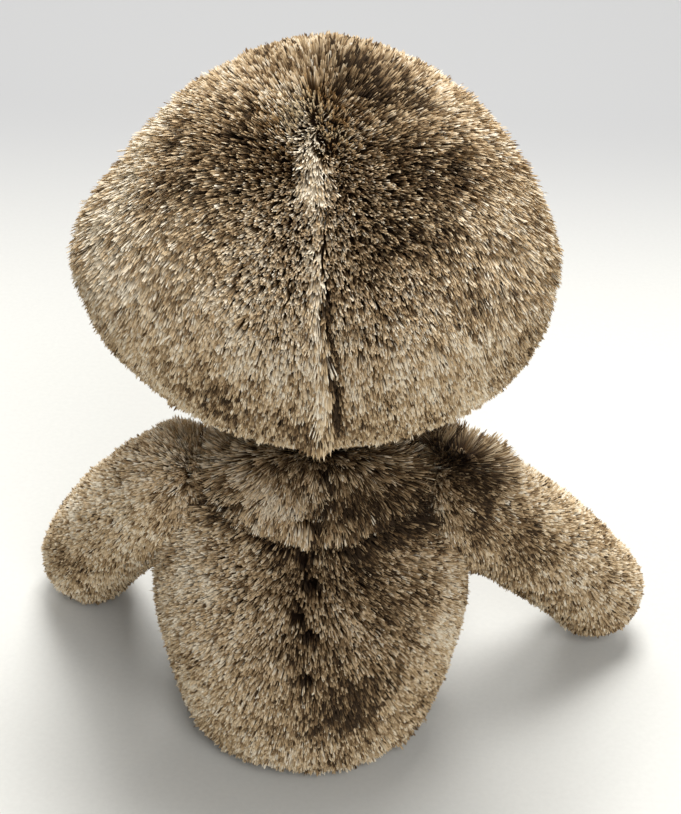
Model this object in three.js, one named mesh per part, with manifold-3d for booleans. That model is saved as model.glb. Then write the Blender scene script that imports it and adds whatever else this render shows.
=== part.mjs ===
// Plush sloth, seated, with its arms hanging down and a little forward.
// Millimetres, +Z up. The origin is the centre of the flat seat, the face looks along -Y,
// the back is towards +Y, and the toy's own left is +X.

import * as THREE from 'three';
import { mergeVertices } from 'three/addons/utils/BufferGeometryUtils.js';
import Module from 'manifold-3d';

// Cloth and clearances
const plushThickness = 5;      // knitted backing and long pile together
const facePileStep = 1;        // the face's pile is this much shorter
const patchPileStep = 1.6;     // the eye patches' velvet is shorter still
const gap = 0.3;               // between two pieces that touch in the real toy
const armpitSkin = 1.5;        // cloth where a limb is drawn in against the torso
const threadRadius = 0.35;     // sewing thread, as the doubled line that a seam shows
const threadClearance = 0.3;   // round the stitches in a straight seam
const ringClearance = 0.2;     // round the stitches that a limb turns in
const seamDepth = 3.4;         // of the stitches below the pile's tips
const seamStitchStep = 20;     // degrees of latitude between points of the head's back seam
const headSeamTop = 80;        // latitudes between which the head's back seam shows
const headSeamBottom = -60;
const torsoSeamFromSeat = 1.2; // sections left without stitches at the seat, and at the neck
const torsoSeamFromNeck = 0.8;
const torsoSeamStep = 0.5;     // sections between points of the torso's back seam

// Head, measured from its widest level
const headHalfWidth = 45;
const headBackDepth = 39;
const headFrontDepth = 35;
const headTopHeight = 40.5;
const headBottomHeight = 38.5;
const headTopFullness = 1.5;     // exponent of the outline: 2 is round, less is more pointed
const headBottomFullness = 1.9;
const hoodSeamForward = 4;       // from the widest section to the seam between back and hood
const faceHalfWidth = 32;
const faceHalfHeight = 27;
const faceDrop = 3;              // of the face panel's centre below the head's widest level

// Torso: a stack of oval sections from the seat to the neck, each with its rise above the one
// below, its half width, its depths to the back and to the belly, and its lean to the front
const seatSection = { rise: 0, halfWidth: 21.5, back: 19.5, front: 19, lean: 0 };
const seatEdgeSection = { rise: 3.5, halfWidth: 25, back: 24, front: 24, lean: 0 };
const hipSection = { rise: 11, halfWidth: 28, back: 27.5, front: 27.5, lean: 0 };
const bellySection = { rise: 18, halfWidth: 31, back: 30, front: 29.5, lean: 0.5 };
const ribSection = { rise: 13.5, halfWidth: 30, back: 27.5, front: 27, lean: 2 };
const shoulderSection = { rise: 9, halfWidth: 27, back: 22.5, front: 24, lean: 3 };
const rollSection = { rise: 6.5, halfWidth: 25.5, back: 24.5, front: 22.5, lean: 4 };
const neckSection = { rise: 5.5, halfWidth: 20, back: 20, front: 18, lean: 5 };
const neckRise = 1.5;            // of the torso's top above the last section
const seatPanelHalfWidth = 17;
const seatPanelHalfDepth = 16;
const sideSeamForward = 4;       // from the torso's middle to the seam between back and belly
const pouchHeight = 17;          // level of the top of the pellets

// Arms
const armLength = 60.5;            // shoulder centre to the centre of the round hand
const armRootRadius = 12;
const armMiddleRadius = 11.6;
const armHandRadius = 10.7;
const armBow = 2;                // how far the middle of the arm bows outward
const shoulderInset = 1;         // shoulder centre below the torso's side
const leftArmSplay = 26.9;         // degrees from straight down, sideways
const leftArmForward = 38.3;       // degrees from straight down, to the front
const rightArmSplay = 39.7;
const rightArmForward = 32.2;

// Legs
const legLength = 31;            // hip centre to the centre of the round foot
const legRootRadius = 10.5;
const legMiddleRadius = 11;
const legFootRadius = 12.5;
const legFlat = 0.5;             // depth of the flat that the leg rests on
const hipHalfSpan = 15.5;
const hipInset = 9;              // hip centre behind the belly's front
const legSplay = 5;              // degrees that each foot turns out
const legBow = 0;                // the legs are straight

// Reach of the sewn joints, in degrees from the seated pose
const headNod = 10;
const armLift = [0, 45];
const armSwing = [0, 60];
const legLift = [0, 30];
const sweepStep = 30;            // between the poses that a limb's root is trimmed for
const sweepClearance = 0.9;

// Stitches round the neck, the shoulders and the hips
const neckRingRadius = 13;
const shoulderRingInset = 3;     // from the limb's centre into the torso
const hipRingInset = 3;

// Face pieces, placed by longitude from the middle of the face and latitude on the head
const eyeLongitude = 23;
const eyeLatitude = 2;
const eyeRadius = 3.8;
const eyeDome = 3;
const eyeShankRadius = 1.2;
const eyeShankLength = 9;
const eyePatchHalfWidth = 7;
const eyePatchHalfHeight = 12.5;
const eyePatchTilt = 38;         // degrees that the patch's lower end leans outward
const eyePatchDrop = 4;          // of the patch's centre below the eye
const noseLatitude = -10;
const noseHalfWidth = 5;
const noseHalfHeight = 3.4;
const noseDome = 3.2;
const noseShankRadius = 1.4;
const noseShankLength = 8;
const washerRadius = 4;
const washerThickness = 1.2;
const washerSeat = 0.8;          // from the back of the cloth to the washer
const mouthLatitude = -19;
const mouthHalfSpan = 15;        // degrees of longitude to each side
const mouthRise = 5;             // degrees that the corners rise
const mouthThreadRadius = 0.7;

// Fineness of the surfaces: steps from end to end, and round
const headFineness = { rings: 12, sides: 22 };
const headInsideFineness = { rings: 7, sides: 12 };
const torsoFineness = { rings: 14, sides: 18 };
const torsoInsideFineness = { rings: 8, sides: 10 };
const armFineness = { rings: 4, ends: 3, sides: 12 };
const legFineness = { rings: 3, ends: 3, sides: 10 };
const limbInsideFineness = { rings: 2, ends: 2, sides: 8 };
const hollowSides = 10;
const threadSides = 5;
const ringSteps = 16;
const roundSides = 14;
const ovalSides = 14;
const sweepSides = 16;
const sweepSteps = 4;
const buttonSteps = 6;
const mouthSteps = 5;
const mergeDistance = 1e-4;      // points closer than this are one corner

const wasm = await Module();
wasm.setup();

// Turning geometry into solids and back

function solidFrom(geometry) {
  const bare = new THREE.BufferGeometry();
  bare.setAttribute('position', geometry.getAttribute('position').clone());
  if (geometry.index) {
    bare.setIndex(geometry.index.clone());
  }
  const merged = mergeVertices(bare, mergeDistance);
  return new wasm.Manifold(new wasm.Mesh({
    numProp: 3,
    vertProperties: new Float32Array(merged.getAttribute('position').array),
    triVerts: new Uint32Array(merged.index.array),
  }));
}

function geometryFrom(solid) {
  const mesh = solid.getMesh();
  const geometry = new THREE.BufferGeometry();
  geometry.setAttribute('position', new THREE.BufferAttribute(mesh.vertProperties, 3));
  geometry.setIndex(new THREE.BufferAttribute(mesh.triVerts, 1));
  geometry.computeVertexNormals();
  return geometry;
}

// The largest body of a solid, without the slivers that a curved cut can leave
function mainBody(solid) {
  const bodies = solid.decompose();
  return bodies.reduce((best, body) => (body.volume() > best.volume() ? body : best));
}

// A closed skin over rings of points, drawn in to a point at each end
function skin(rings, firstPoint, lastPoint) {
  const sides = rings[0].length;
  const points = [firstPoint, ...rings.flat(), lastPoint];
  const last = points.length - 1;
  const at = (ring, side) => 1 + ring * sides + (side % sides);
  const faces = [];
  for (let side = 0; side < sides; side += 1) {
    faces.push(0, at(0, side + 1), at(0, side));
    faces.push(last, at(rings.length - 1, side), at(rings.length - 1, side + 1));
    for (let ring = 0; ring + 1 < rings.length; ring += 1) {
      faces.push(at(ring, side), at(ring, side + 1), at(ring + 1, side + 1));
      faces.push(at(ring, side), at(ring + 1, side + 1), at(ring + 1, side));
    }
  }
  const geometry = new THREE.BufferGeometry();
  geometry.setAttribute('position', new THREE.Float32BufferAttribute(
    points.flatMap((point) => point.toArray()), 3));
  geometry.setIndex(faces);
  return geometry;
}

function boxBetween(low, high) {
  const size = high.clone().sub(low);
  const middle = low.clone().add(high).multiplyScalar(0.5);
  return solidFrom(new THREE.BoxGeometry(size.x, size.y, size.z).translate(...middle.toArray()));
}

const far = 200;
const everything = () => [new THREE.Vector3(-far, -far, -far), new THREE.Vector3(far, far, far)];

// All of space on one side of a level along x, y or z
function halfSpace(axis, level, side) {
  const [low, high] = everything();
  if (side > 0) {
    low[axis] = level;
  } else {
    high[axis] = level;
  }
  return boxBetween(low, high);
}

// A straight tube or disc along an axis, from one distance to another
function rod(radius, site, from, to, sides = roundSides) {
  const geometry = new THREE.CylinderGeometry(radius, radius, to - from, sides);
  geometry.rotateX(Math.PI / 2).translate(0, 0, (from + to) / 2);
  return geometry.applyMatrix4(site);
}

function threadAlong(points, radius) {
  const section = new THREE.Shape();
  for (let side = 0; side < threadSides; side += 1) {
    const angle = (2 * Math.PI * side) / threadSides;
    const corner = [radius * Math.cos(angle), radius * Math.sin(angle)];
    if (side === 0) {
      section.moveTo(...corner);
    } else {
      section.lineTo(...corner);
    }
  }
  const geometry = new THREE.ExtrudeGeometry(section, {
    steps: points.length,
    bevelEnabled: false,
    extrudePath: new THREE.CatmullRomCurve3(points),
  });
  return solidFrom(geometry);
}

// A ring of thread about an axis: normal is 'x', 'y' or 'z'
function threadRing(centre, normal, ringRadius) {
  const geometry = new THREE.TorusGeometry(ringRadius, threadRadius, threadSides, ringSteps);
  if (normal === 'x') {
    geometry.rotateY(Math.PI / 2);
  } else if (normal === 'y') {
    geometry.rotateX(Math.PI / 2);
  }
  return solidFrom(geometry.translate(...centre.toArray()));
}

function ball(centre, radius, sides) {
  const geometry = new THREE.SphereGeometry(radius, sides, sides / 2);
  return solidFrom(geometry.translate(...centre.toArray()));
}

// Radius of a ring whose straight steps still clear the round that it goes about
const ringAbout = (radius) => (radius + ringClearance + threadRadius) / Math.cos(Math.PI / ringSteps);

// Radius of a faceted hollow whose flats clear a limb's round root and the stitches about it
const hollowFor = (radius) => (ringAbout(radius) + threadRadius + ringClearance)
  / Math.cos(Math.PI / hollowSides) ** 2;

// Torso

const torsoSections = [seatSection, seatEdgeSection, hipSection, bellySection, ribSection,
  shoulderSection, rollSection, neckSection];
const torsoLevels = torsoSections.map((_, index) => torsoSections
  .slice(0, index + 1)
  .reduce((sum, section) => sum + section.rise, 0));
const torsoHeight = torsoLevels.at(-1) + neckRise;
const shoulderLevel = torsoLevels[torsoSections.indexOf(shoulderSection)];
const hipLevel = torsoLevels[torsoSections.indexOf(hipSection)];

// A smooth value through a list of values, at a place counted in list steps
function smoothValue(values, place) {
  const index = Math.min(Math.floor(place), values.length - 2);
  const at = (offset) => values[THREE.MathUtils.clamp(index + offset, 0, values.length - 1)];
  const t = place - index;
  const startSlope = (at(1) - at(-1)) / 2;
  const endSlope = (at(2) - at(0)) / 2;
  const rise = at(1) - at(0);
  return at(0) + t * startSlope + t * t * (3 * rise - 2 * startSlope - endSlope)
    + t * t * t * (startSlope + endSlope - 2 * rise);
}

// The torso's section at a place from 0, the seat, to the last section, drawn in by a depth
function torsoRing(place, depth) {
  const level = smoothValue(torsoLevels, place);
  const middle = torsoHeight / 2;
  const shrink = (middle - depth) / middle;
  const of = (name) => smoothValue(torsoSections.map((section) => section[name]), place);
  return {
    level: middle + (level - middle) * shrink,
    halfWidth: of('halfWidth') - depth,
    back: of('back') - depth,
    front: of('front') - depth,
    lean: of('lean'),
  };
}

function ovalPoint(ring, angle) {
  const reach = Math.sin(angle) > 0 ? ring.back : ring.front;
  return new THREE.Vector3(
    ring.halfWidth * Math.cos(angle), reach * Math.sin(angle) - ring.lean, ring.level);
}

function torsoForm(depth, fineness = torsoFineness) {
  const rings = [];
  for (let step = 0; step <= fineness.rings; step += 1) {
    const ring = torsoRing((step / fineness.rings) * (torsoSections.length - 1), depth);
    rings.push(Array.from({ length: fineness.sides },
      (_, side) => ovalPoint(ring, (2 * Math.PI * side) / fineness.sides)));
  }
  const seat = new THREE.Vector3(0, 0, depth);
  const top = new THREE.Vector3(0, -neckSection.lean, torsoHeight - depth);
  return solidFrom(skin(rings, seat, top));
}

// Head

const neck = new THREE.Vector3(0, -neckSection.lean, torsoHeight);
const headCentre = neck.clone().add(new THREE.Vector3(0, 0, gap + headBottomHeight));

function headPoint(latitude, longitude, depth) {
  const upper = latitude > 0;
  const power = 2 / (upper ? headTopFullness : headBottomFullness);
  const around = Math.cos(latitude) ** power;
  const up = Math.sign(latitude) * Math.abs(Math.sin(latitude)) ** power;
  const height = upper ? headTopHeight : headBottomHeight;
  const reach = Math.sin(longitude) > 0 ? headBackDepth : headFrontDepth;
  return new THREE.Vector3(
    (headHalfWidth - depth) * around * Math.cos(longitude),
    (reach - depth) * around * Math.sin(longitude),
    (height - depth) * up,
  ).add(headCentre);
}

function headForm(depth, fineness = headFineness) {
  const rings = [];
  for (let step = 1; step < fineness.rings; step += 1) {
    const latitude = Math.PI * (step / fineness.rings - 0.5);
    rings.push(Array.from({ length: fineness.sides },
      (_, side) => headPoint(latitude, (2 * Math.PI * side) / fineness.sides, depth)));
  }
  const pole = (sign) => headPoint((sign * Math.PI) / 2, 0, depth);
  return solidFrom(skin(rings, pole(-1), pole(1)));
}

// A place on the face: an axis system whose origin is on the head at a depth and whose z axis
// points straight out of the cloth, with y up the face
function faceSite(longitude, latitude, depth) {
  const around = THREE.MathUtils.degToRad(longitude - 90);
  const up = THREE.MathUtils.degToRad(latitude);
  const small = 1e-3;
  const here = headPoint(up, around, depth);
  const across = headPoint(up, around + small, depth).sub(here);
  const along = headPoint(up + small, around, depth).sub(here);
  const outward = across.clone().cross(along).normalize();
  const upward = along.clone().normalize();
  const sideways = upward.clone().cross(outward);
  return new THREE.Matrix4().makeBasis(sideways, upward, outward).setPosition(here);
}

// The space under the head that it sweeps when it nods and turns about the neck
function headSweep() {
  const reach = Math.max(headHalfWidth, headBackDepth, headFrontDepth);
  const tilt = THREE.MathUtils.degToRad(headNod);
  const profile = [new THREE.Vector2(0, -gap)];
  for (let step = 1; step <= sweepSteps; step += 1) {
    const latitude = (Math.PI / 2) * (step / (sweepSteps + 2) - 1);
    const power = 2 / headBottomFullness;
    const outward = reach * Math.cos(latitude) ** power;
    const upward = headBottomHeight * (1 - Math.abs(Math.sin(latitude)) ** power);
    profile.push(new THREE.Vector2(
      outward * Math.cos(tilt) + upward * Math.sin(tilt),
      upward * Math.cos(tilt) - outward * Math.sin(tilt) - gap,
    ));
  }
  return profile;
}

const sweepProfile = headSweep();

// The swept space, with a groove in its underside where the neck's stitches lie
function headSweepSolid() {
  const inner = neckRingRadius - threadRadius - 2 * gap;
  const outer = neckRingRadius + threadRadius + 2 * gap;
  const floor = sweepHeight(neckRingRadius) - 2 * gap - 2 * threadRadius;
  const points = [
    ...sweepProfile.filter((point) => point.x < inner),
    new THREE.Vector2(inner, sweepHeight(inner)),
    new THREE.Vector2(inner, floor),
    new THREE.Vector2(outer, floor),
    new THREE.Vector2(outer, sweepHeight(outer)),
    ...sweepProfile.filter((point) => point.x > outer),
    new THREE.Vector2(0, sweepProfile.at(-1).y),
  ];
  const geometry = new THREE.LatheGeometry(points, sweepSides).rotateX(Math.PI / 2);
  return solidFrom(geometry.translate(...neck.toArray()));
}

// Height of the swept space above the neck's centre, at a distance from the neck's axis
function sweepHeight(distance) {
  const index = sweepProfile.findIndex((point) => point.x >= distance);
  const [inner, outer] = [sweepProfile[index - 1], sweepProfile[index]];
  const t = (distance - inner.x) / (outer.x - inner.x);
  return inner.y + t * (outer.y - inner.y);
}

// Limbs

// What the making of one limb needs: its root, its bowed axis, its radii, and the directions
// across the seam plane that holds the axis and within that plane
function limbPlan({ root, aim, skinFaces, bowTowards, length, bow, radii }) {
  const direction = aim.clone().normalize();
  const tip = root.clone().addScaledVector(direction, length);
  const facing = skinFaces.clone()
    .addScaledVector(direction, -skinFaces.dot(direction)).normalize();
  const sideways = facing.clone().cross(direction);
  sideways.multiplyScalar(Math.sign(sideways.dot(bowTowards)));
  const middle = root.clone().lerp(tip, 0.5).addScaledVector(sideways, 2 * bow);
  const axis = new THREE.QuadraticBezierCurve3(root, middle, tip);
  return { root, axis, radii, facing, sideways };
}

function limbBody(plan, depth, fineness) {
  const [rootRadius, middleRadius, tipRadius] = plan.radii.map((radius) => radius - depth);
  const across = plan.axis.getTangent(0.5).cross(plan.sideways).normalize();
  const ringAt = (centre, tangent, radius) => {
    const up = across.clone().cross(tangent).normalize();
    return Array.from({ length: fineness.sides }, (_, side) => {
      const angle = (2 * Math.PI * side) / fineness.sides;
      return centre.clone()
        .addScaledVector(up, radius * Math.cos(angle))
        .addScaledVector(tangent.clone().cross(up), radius * Math.sin(angle));
    });
  };
  const startTangent = plan.axis.getTangent(0);
  const endTangent = plan.axis.getTangent(1);
  const start = plan.axis.getPoint(0);
  const end = plan.axis.getPoint(1);
  const rings = [];
  for (let step = fineness.ends - 1; step > 0; step -= 1) {
    const angle = (Math.PI / 2) * (step / fineness.ends);
    const centre = start.clone().addScaledVector(startTangent, -rootRadius * Math.sin(angle));
    rings.push(ringAt(centre, startTangent, rootRadius * Math.cos(angle)));
  }
  for (let step = 0; step <= fineness.rings; step += 1) {
    const t = step / fineness.rings;
    const radius = smoothValue([rootRadius, middleRadius, tipRadius], 2 * t);
    rings.push(ringAt(plan.axis.getPoint(t), plan.axis.getTangent(t), radius));
  }
  for (let step = 1; step < fineness.ends; step += 1) {
    const angle = (Math.PI / 2) * (step / fineness.ends);
    const centre = end.clone().addScaledVector(endTangent, tipRadius * Math.sin(angle));
    rings.push(ringAt(centre, endTangent, tipRadius * Math.cos(angle)));
  }
  const first = start.clone().addScaledVector(startTangent, -rootRadius);
  const last = end.clone().addScaledVector(endTangent, tipRadius);
  return solidFrom(skin(rings, first, last));
}

// Angles from the first to the last limit in equal steps no wider than the sweep step
function anglesIn([first, last]) {
  const count = Math.ceil((last - first) / sweepStep);
  return Array.from({ length: count + 1 }, (_, step) => THREE.MathUtils.degToRad(
    first + ((last - first) * step) / count));
}

// The torso as the limb meets it in each of its poses, so that the limb's root can be cut back
function torsoAsMet(plan, turns, depth) {
  const solids = turns.map((turn) => {
    const matrix = new THREE.Matrix4().makeTranslation(...plan.root.toArray())
      .multiply(turn.clone().invert())
      .multiply(new THREE.Matrix4().makeTranslation(...plan.root.clone().negate().toArray()));
    return solidFrom(geometryFrom(torsoForm(-depth)).applyMatrix4(matrix));
  });
  return wasm.Manifold.union(solids);
}

// A limb: the round root that sits in the torso's hollow, joined to the part that clears the
// torso in every pose
function limbForm(plan, turns, depth, wall, fineness) {
  const body = limbBody(plan, depth, fineness)
    .subtract(torsoAsMet(plan, turns, sweepClearance + wall));
  return mainBody(body).add(ball(plan.root, plan.radii[0] - depth, fineness.sides));
}

// Two skins and the filling of a limb, split by a seam plane through its axis
function limbPieces(plan, turns, fineness) {
  const outer = limbForm(plan, turns, 0, 0, fineness);
  const inside = (slack) => limbForm(
    plan, turns, plushThickness + slack, armpitSkin + slack, limbInsideFineness);
  const shell = outer.subtract(inside(0));
  const filling = inside(gap);
  const seamPlane = new THREE.Matrix4()
    .makeBasis(plan.sideways, plan.facing.clone().cross(plan.sideways), plan.facing)
    .setPosition(plan.root);
  const half = (side) => {
    const geometry = new THREE.BoxGeometry(2 * far, 2 * far, far)
      .translate(0, 0, side * (far / 2 + gap / 2));
    return mainBody(shell.intersect(solidFrom(geometry.applyMatrix4(seamPlane))));
  };
  return { positive: half(1), negative: half(-1), filling: mainBody(filling) };
}

const degrees = THREE.MathUtils.degToRad;
const turnX = (angle) => new THREE.Matrix4().makeRotationX(angle);
const turnY = (angle) => new THREE.Matrix4().makeRotationY(angle);

// sign is +1 on the toy's left and -1 on its right
function armPlan(sign, splay, forward) {
  return limbPlan({
    root: new THREE.Vector3(
      sign * (shoulderSection.halfWidth - shoulderInset), -shoulderSection.lean, shoulderLevel),
    aim: new THREE.Vector3(
      sign * Math.tan(degrees(splay)), -Math.tan(degrees(forward)), -1),
    skinFaces: new THREE.Vector3(0, 1, 0),
    bowTowards: new THREE.Vector3(sign, 0, 0),
    length: armLength,
    bow: armBow,
    radii: [armRootRadius, armMiddleRadius, armHandRadius],
  });
}

// The arm swings to the front about the x axis and lifts sideways about the y axis
function armTurns(sign) {
  return anglesIn(armSwing).flatMap((swing) => anglesIn(armLift)
    .map((lift) => turnX(-swing).multiply(turnY(-sign * lift))));
}

function legPlan(sign) {
  return limbPlan({
    root: new THREE.Vector3(
      sign * hipHalfSpan, hipInset - hipSection.front, legFootRadius - legFlat),
    aim: new THREE.Vector3(sign * Math.tan(degrees(legSplay)), -1, 0),
    skinFaces: new THREE.Vector3(0, 0, 1),
    bowTowards: new THREE.Vector3(sign, 0, 0),
    length: legLength,
    bow: legBow,
    radii: [legRootRadius, legMiddleRadius, legFootRadius],
  });
}

const legTurns = anglesIn(legLift).map((lift) => turnX(-lift));

const sides = [
  { name: 'left', sign: 1, arm: armPlan(1, leftArmSplay, leftArmForward) },
  { name: 'right', sign: -1, arm: armPlan(-1, rightArmSplay, rightArmForward) },
];
for (const side of sides) {
  side.leg = legPlan(side.sign);
}

// Rings of stitches, each lying just outside the limb's round root

function shoulderRing(side) {
  const centre = side.arm.root.clone();
  centre.x -= side.sign * shoulderRingInset;
  return threadRing(centre, 'x', Math.sqrt(ringAbout(armRootRadius) ** 2 - shoulderRingInset ** 2));
}

function hipRing(side) {
  const centre = side.leg.root.clone();
  centre.y += hipRingInset;
  return threadRing(centre, 'y', Math.sqrt(ringAbout(legRootRadius) ** 2 - hipRingInset ** 2));
}

function neckRing() {
  const centre = neck.clone();
  centre.z += sweepHeight(neckRingRadius) - gap - threadRadius;
  return threadRing(centre, 'z', neckRingRadius);
}

// What the torso leaves room for: the head's sweep and the limbs' roots with their stitches
function torsoRoom() {
  const room = [headSweepSolid()];
  for (const side of sides) {
    room.push(ball(side.arm.root, hollowFor(armRootRadius), hollowSides));
    room.push(ball(side.leg.root, hollowFor(legRootRadius), hollowSides));
  }
  return wasm.Manifold.union(room);
}

// Lines of stitches down the back of the head and of the torso

function headSeamPoints() {
  const points = [];
  for (let latitude = headSeamTop; latitude >= headSeamBottom; latitude -= seamStitchStep) {
    points.push(headPoint(degrees(latitude), Math.PI / 2, seamDepth));
  }
  return points;
}

function torsoSeamPoints() {
  const points = [];
  const last = torsoSections.length - 1 - torsoSeamFromNeck;
  for (let place = torsoSeamFromSeat; place <= last; place += torsoSeamStep) {
    points.push(ovalPoint(torsoRing(place, seamDepth), Math.PI / 2));
  }
  return points;
}

// A channel for a line of stitches, a little longer than the stitches at each end
function seamChannel(points) {
  const beyond = (end, next) => end.clone().add(
    end.clone().sub(next).setLength(threadClearance));
  const longer = [beyond(points[0], points[1]), ...points.slice(1, -1),
    beyond(points.at(-1), points.at(-2))];
  return threadAlong(longer, threadRadius + threadClearance);
}

// Face pieces

// A button with a domed face and a shank: its profile turned about the z axis
function buttonProfile(radius, dome, shankRadius, shankLength) {
  const points = [new THREE.Vector2(0, -shankLength), new THREE.Vector2(shankRadius, -shankLength),
    new THREE.Vector2(shankRadius, 0)];
  for (let step = 0; step <= buttonSteps; step += 1) {
    const angle = (Math.PI / 2) * (step / buttonSteps);
    points.push(new THREE.Vector2(radius * Math.cos(angle), dome * Math.sin(angle)));
  }
  points.at(-1).x = 0;
  return points;
}

function button(radius, dome, shankRadius, shankLength) {
  const profile = buttonProfile(radius, dome, shankRadius, shankLength);
  return new THREE.LatheGeometry(profile, roundSides).rotateX(Math.PI / 2);
}

function washer(shankRadius) {
  const ring = new THREE.Shape().absarc(0, 0, washerRadius, 0, 2 * Math.PI);
  ring.holes.push(new THREE.Path().absarc(0, 0, shankRadius + gap, 0, 2 * Math.PI));
  return new THREE.ExtrudeGeometry(ring, {
    depth: washerThickness, bevelEnabled: false, curveSegments: roundSides / 2,
  });
}

// Room for a shank through the cloth, and for its washer behind it
function buttonRoom(site, shankRadius, shankLength) {
  const washerFront = plushThickness + washerSeat - gap;
  const washerBack = plushThickness + washerSeat + washerThickness + gap;
  return solidFrom(rod(shankRadius + gap, site, -shankLength - 2 * gap, plushThickness))
    .add(solidFrom(rod(washerRadius + gap, site, -washerBack, -washerFront)));
}

function ovalColumn(halfWidth, halfHeight, from, to) {
  const geometry = new THREE.CylinderGeometry(1, 1, to - from, ovalSides);
  return geometry.rotateX(Math.PI / 2).scale(halfWidth, halfHeight, 1)
    .translate(0, 0, (from + to) / 2);
}

function eyeSite(sign) {
  return faceSite(sign * eyeLongitude, eyeLatitude, patchPileStep - gap);
}

function patchColumn(sign, grow) {
  const geometry = ovalColumn(eyePatchHalfWidth + grow, eyePatchHalfHeight + grow,
    -2 * plushThickness, plushThickness);
  geometry.translate(0, -eyePatchDrop, 0).rotateZ(sign * degrees(eyePatchTilt));
  return solidFrom(geometry.applyMatrix4(eyeSite(sign)));
}

function faceColumn(grow) {
  const geometry = ovalColumn(faceHalfWidth + grow, faceHalfHeight + grow, 0, far);
  geometry.rotateX(Math.PI / 2).translate(0, headCentre.y, headCentre.z - faceDrop);
  return solidFrom(geometry);
}

const noseSite = faceSite(0, noseLatitude, facePileStep - gap);

function mouthPoints() {
  const points = [];
  for (let step = -mouthSteps; step <= mouthSteps; step += 1) {
    const across = step / mouthSteps;
    const site = faceSite(across * mouthHalfSpan, mouthLatitude + mouthRise * across * across,
      facePileStep + mouthThreadRadius / 2);
    points.push(new THREE.Vector3().setFromMatrixPosition(site));
  }
  return points;
}

// Materials, one for each mesh

const finishes = {
  plush: { color: 0x85705a, roughness: 0.95 },
  hood: { color: 0x7b6d60, roughness: 0.95 },
  facePlush: { color: 0xd8c7a6, roughness: 0.92 },
  patch: { color: 0x3a2a1e, roughness: 0.9 },
  filling: { color: 0xf1efe9, roughness: 1 },
  pouch: { color: 0xe6e2d8, roughness: 0.85 },
  thread: { color: 0x4a3b2c, roughness: 0.7 },
  gloss: { color: 0x0c0b0b, roughness: 0.12 },
  nose: { color: 0x2a1d16, roughness: 0.35 },
  washer: { color: 0xe9e9e6, roughness: 0.5 },
};

const sloth = new THREE.Group();
sloth.name = 'plush_sloth';

function addPiece(name, geometry, finish, site = null) {
  const mesh = new THREE.Mesh(geometry, new THREE.MeshStandardMaterial(
    { ...finishes[finish], metalness: 0 }));
  mesh.name = name;
  if (site) {
    site.decompose(mesh.position, mesh.quaternion, mesh.scale);
  }
  sloth.add(mesh);
}

const addSolid = (name, solid, finish) => addPiece(name, geometryFrom(solid), finish);

// Torso: two back skins, a belly skin and a flat seat round the filling and the pellets

function addTorso() {
  const room = torsoRoom();
  const shell = torsoForm(0).subtract(torsoForm(plushThickness, torsoInsideFineness)).subtract(room);
  const inside = torsoForm(plushThickness + gap, torsoInsideFineness).subtract(room);
  const seatColumn = (grow) => solidFrom(
    ovalColumn(seatPanelHalfWidth + grow, seatPanelHalfDepth + grow, -far, plushThickness + gap));
  const seamPoints = torsoSeamPoints();
  const skinPart = shell.subtract(seatColumn(gap)).subtract(seamChannel(seamPoints));
  const backPart = skinPart.intersect(halfSpace('y', gap / 2 - sideSeamForward, 1));
  const half = gap / 2;
  addSolid('torso_left_back_panel', mainBody(backPart.intersect(halfSpace('x', half, 1))), 'plush');
  addSolid('torso_right_back_panel', mainBody(backPart.intersect(halfSpace('x', -half, -1))), 'plush');
  addSolid('belly_panel',
    mainBody(skinPart.intersect(halfSpace('y', -half - sideSeamForward, -1))), 'plush');
  addSolid('seat_panel', mainBody(shell.intersect(seatColumn(0))), 'plush');
  addSolid('torso_filling',
    mainBody(inside.intersect(halfSpace('z', pouchHeight + half, 1))), 'filling');
  addSolid('pellet_pouch',
    mainBody(inside.intersect(halfSpace('z', pouchHeight - half, -1))), 'pouch');
  addSolid('torso_back_seam_thread', threadAlong(seamPoints, threadRadius), 'thread');
}

// Head: two back skins and a hood round the face panel, with eyes, nose and mouth

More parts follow.
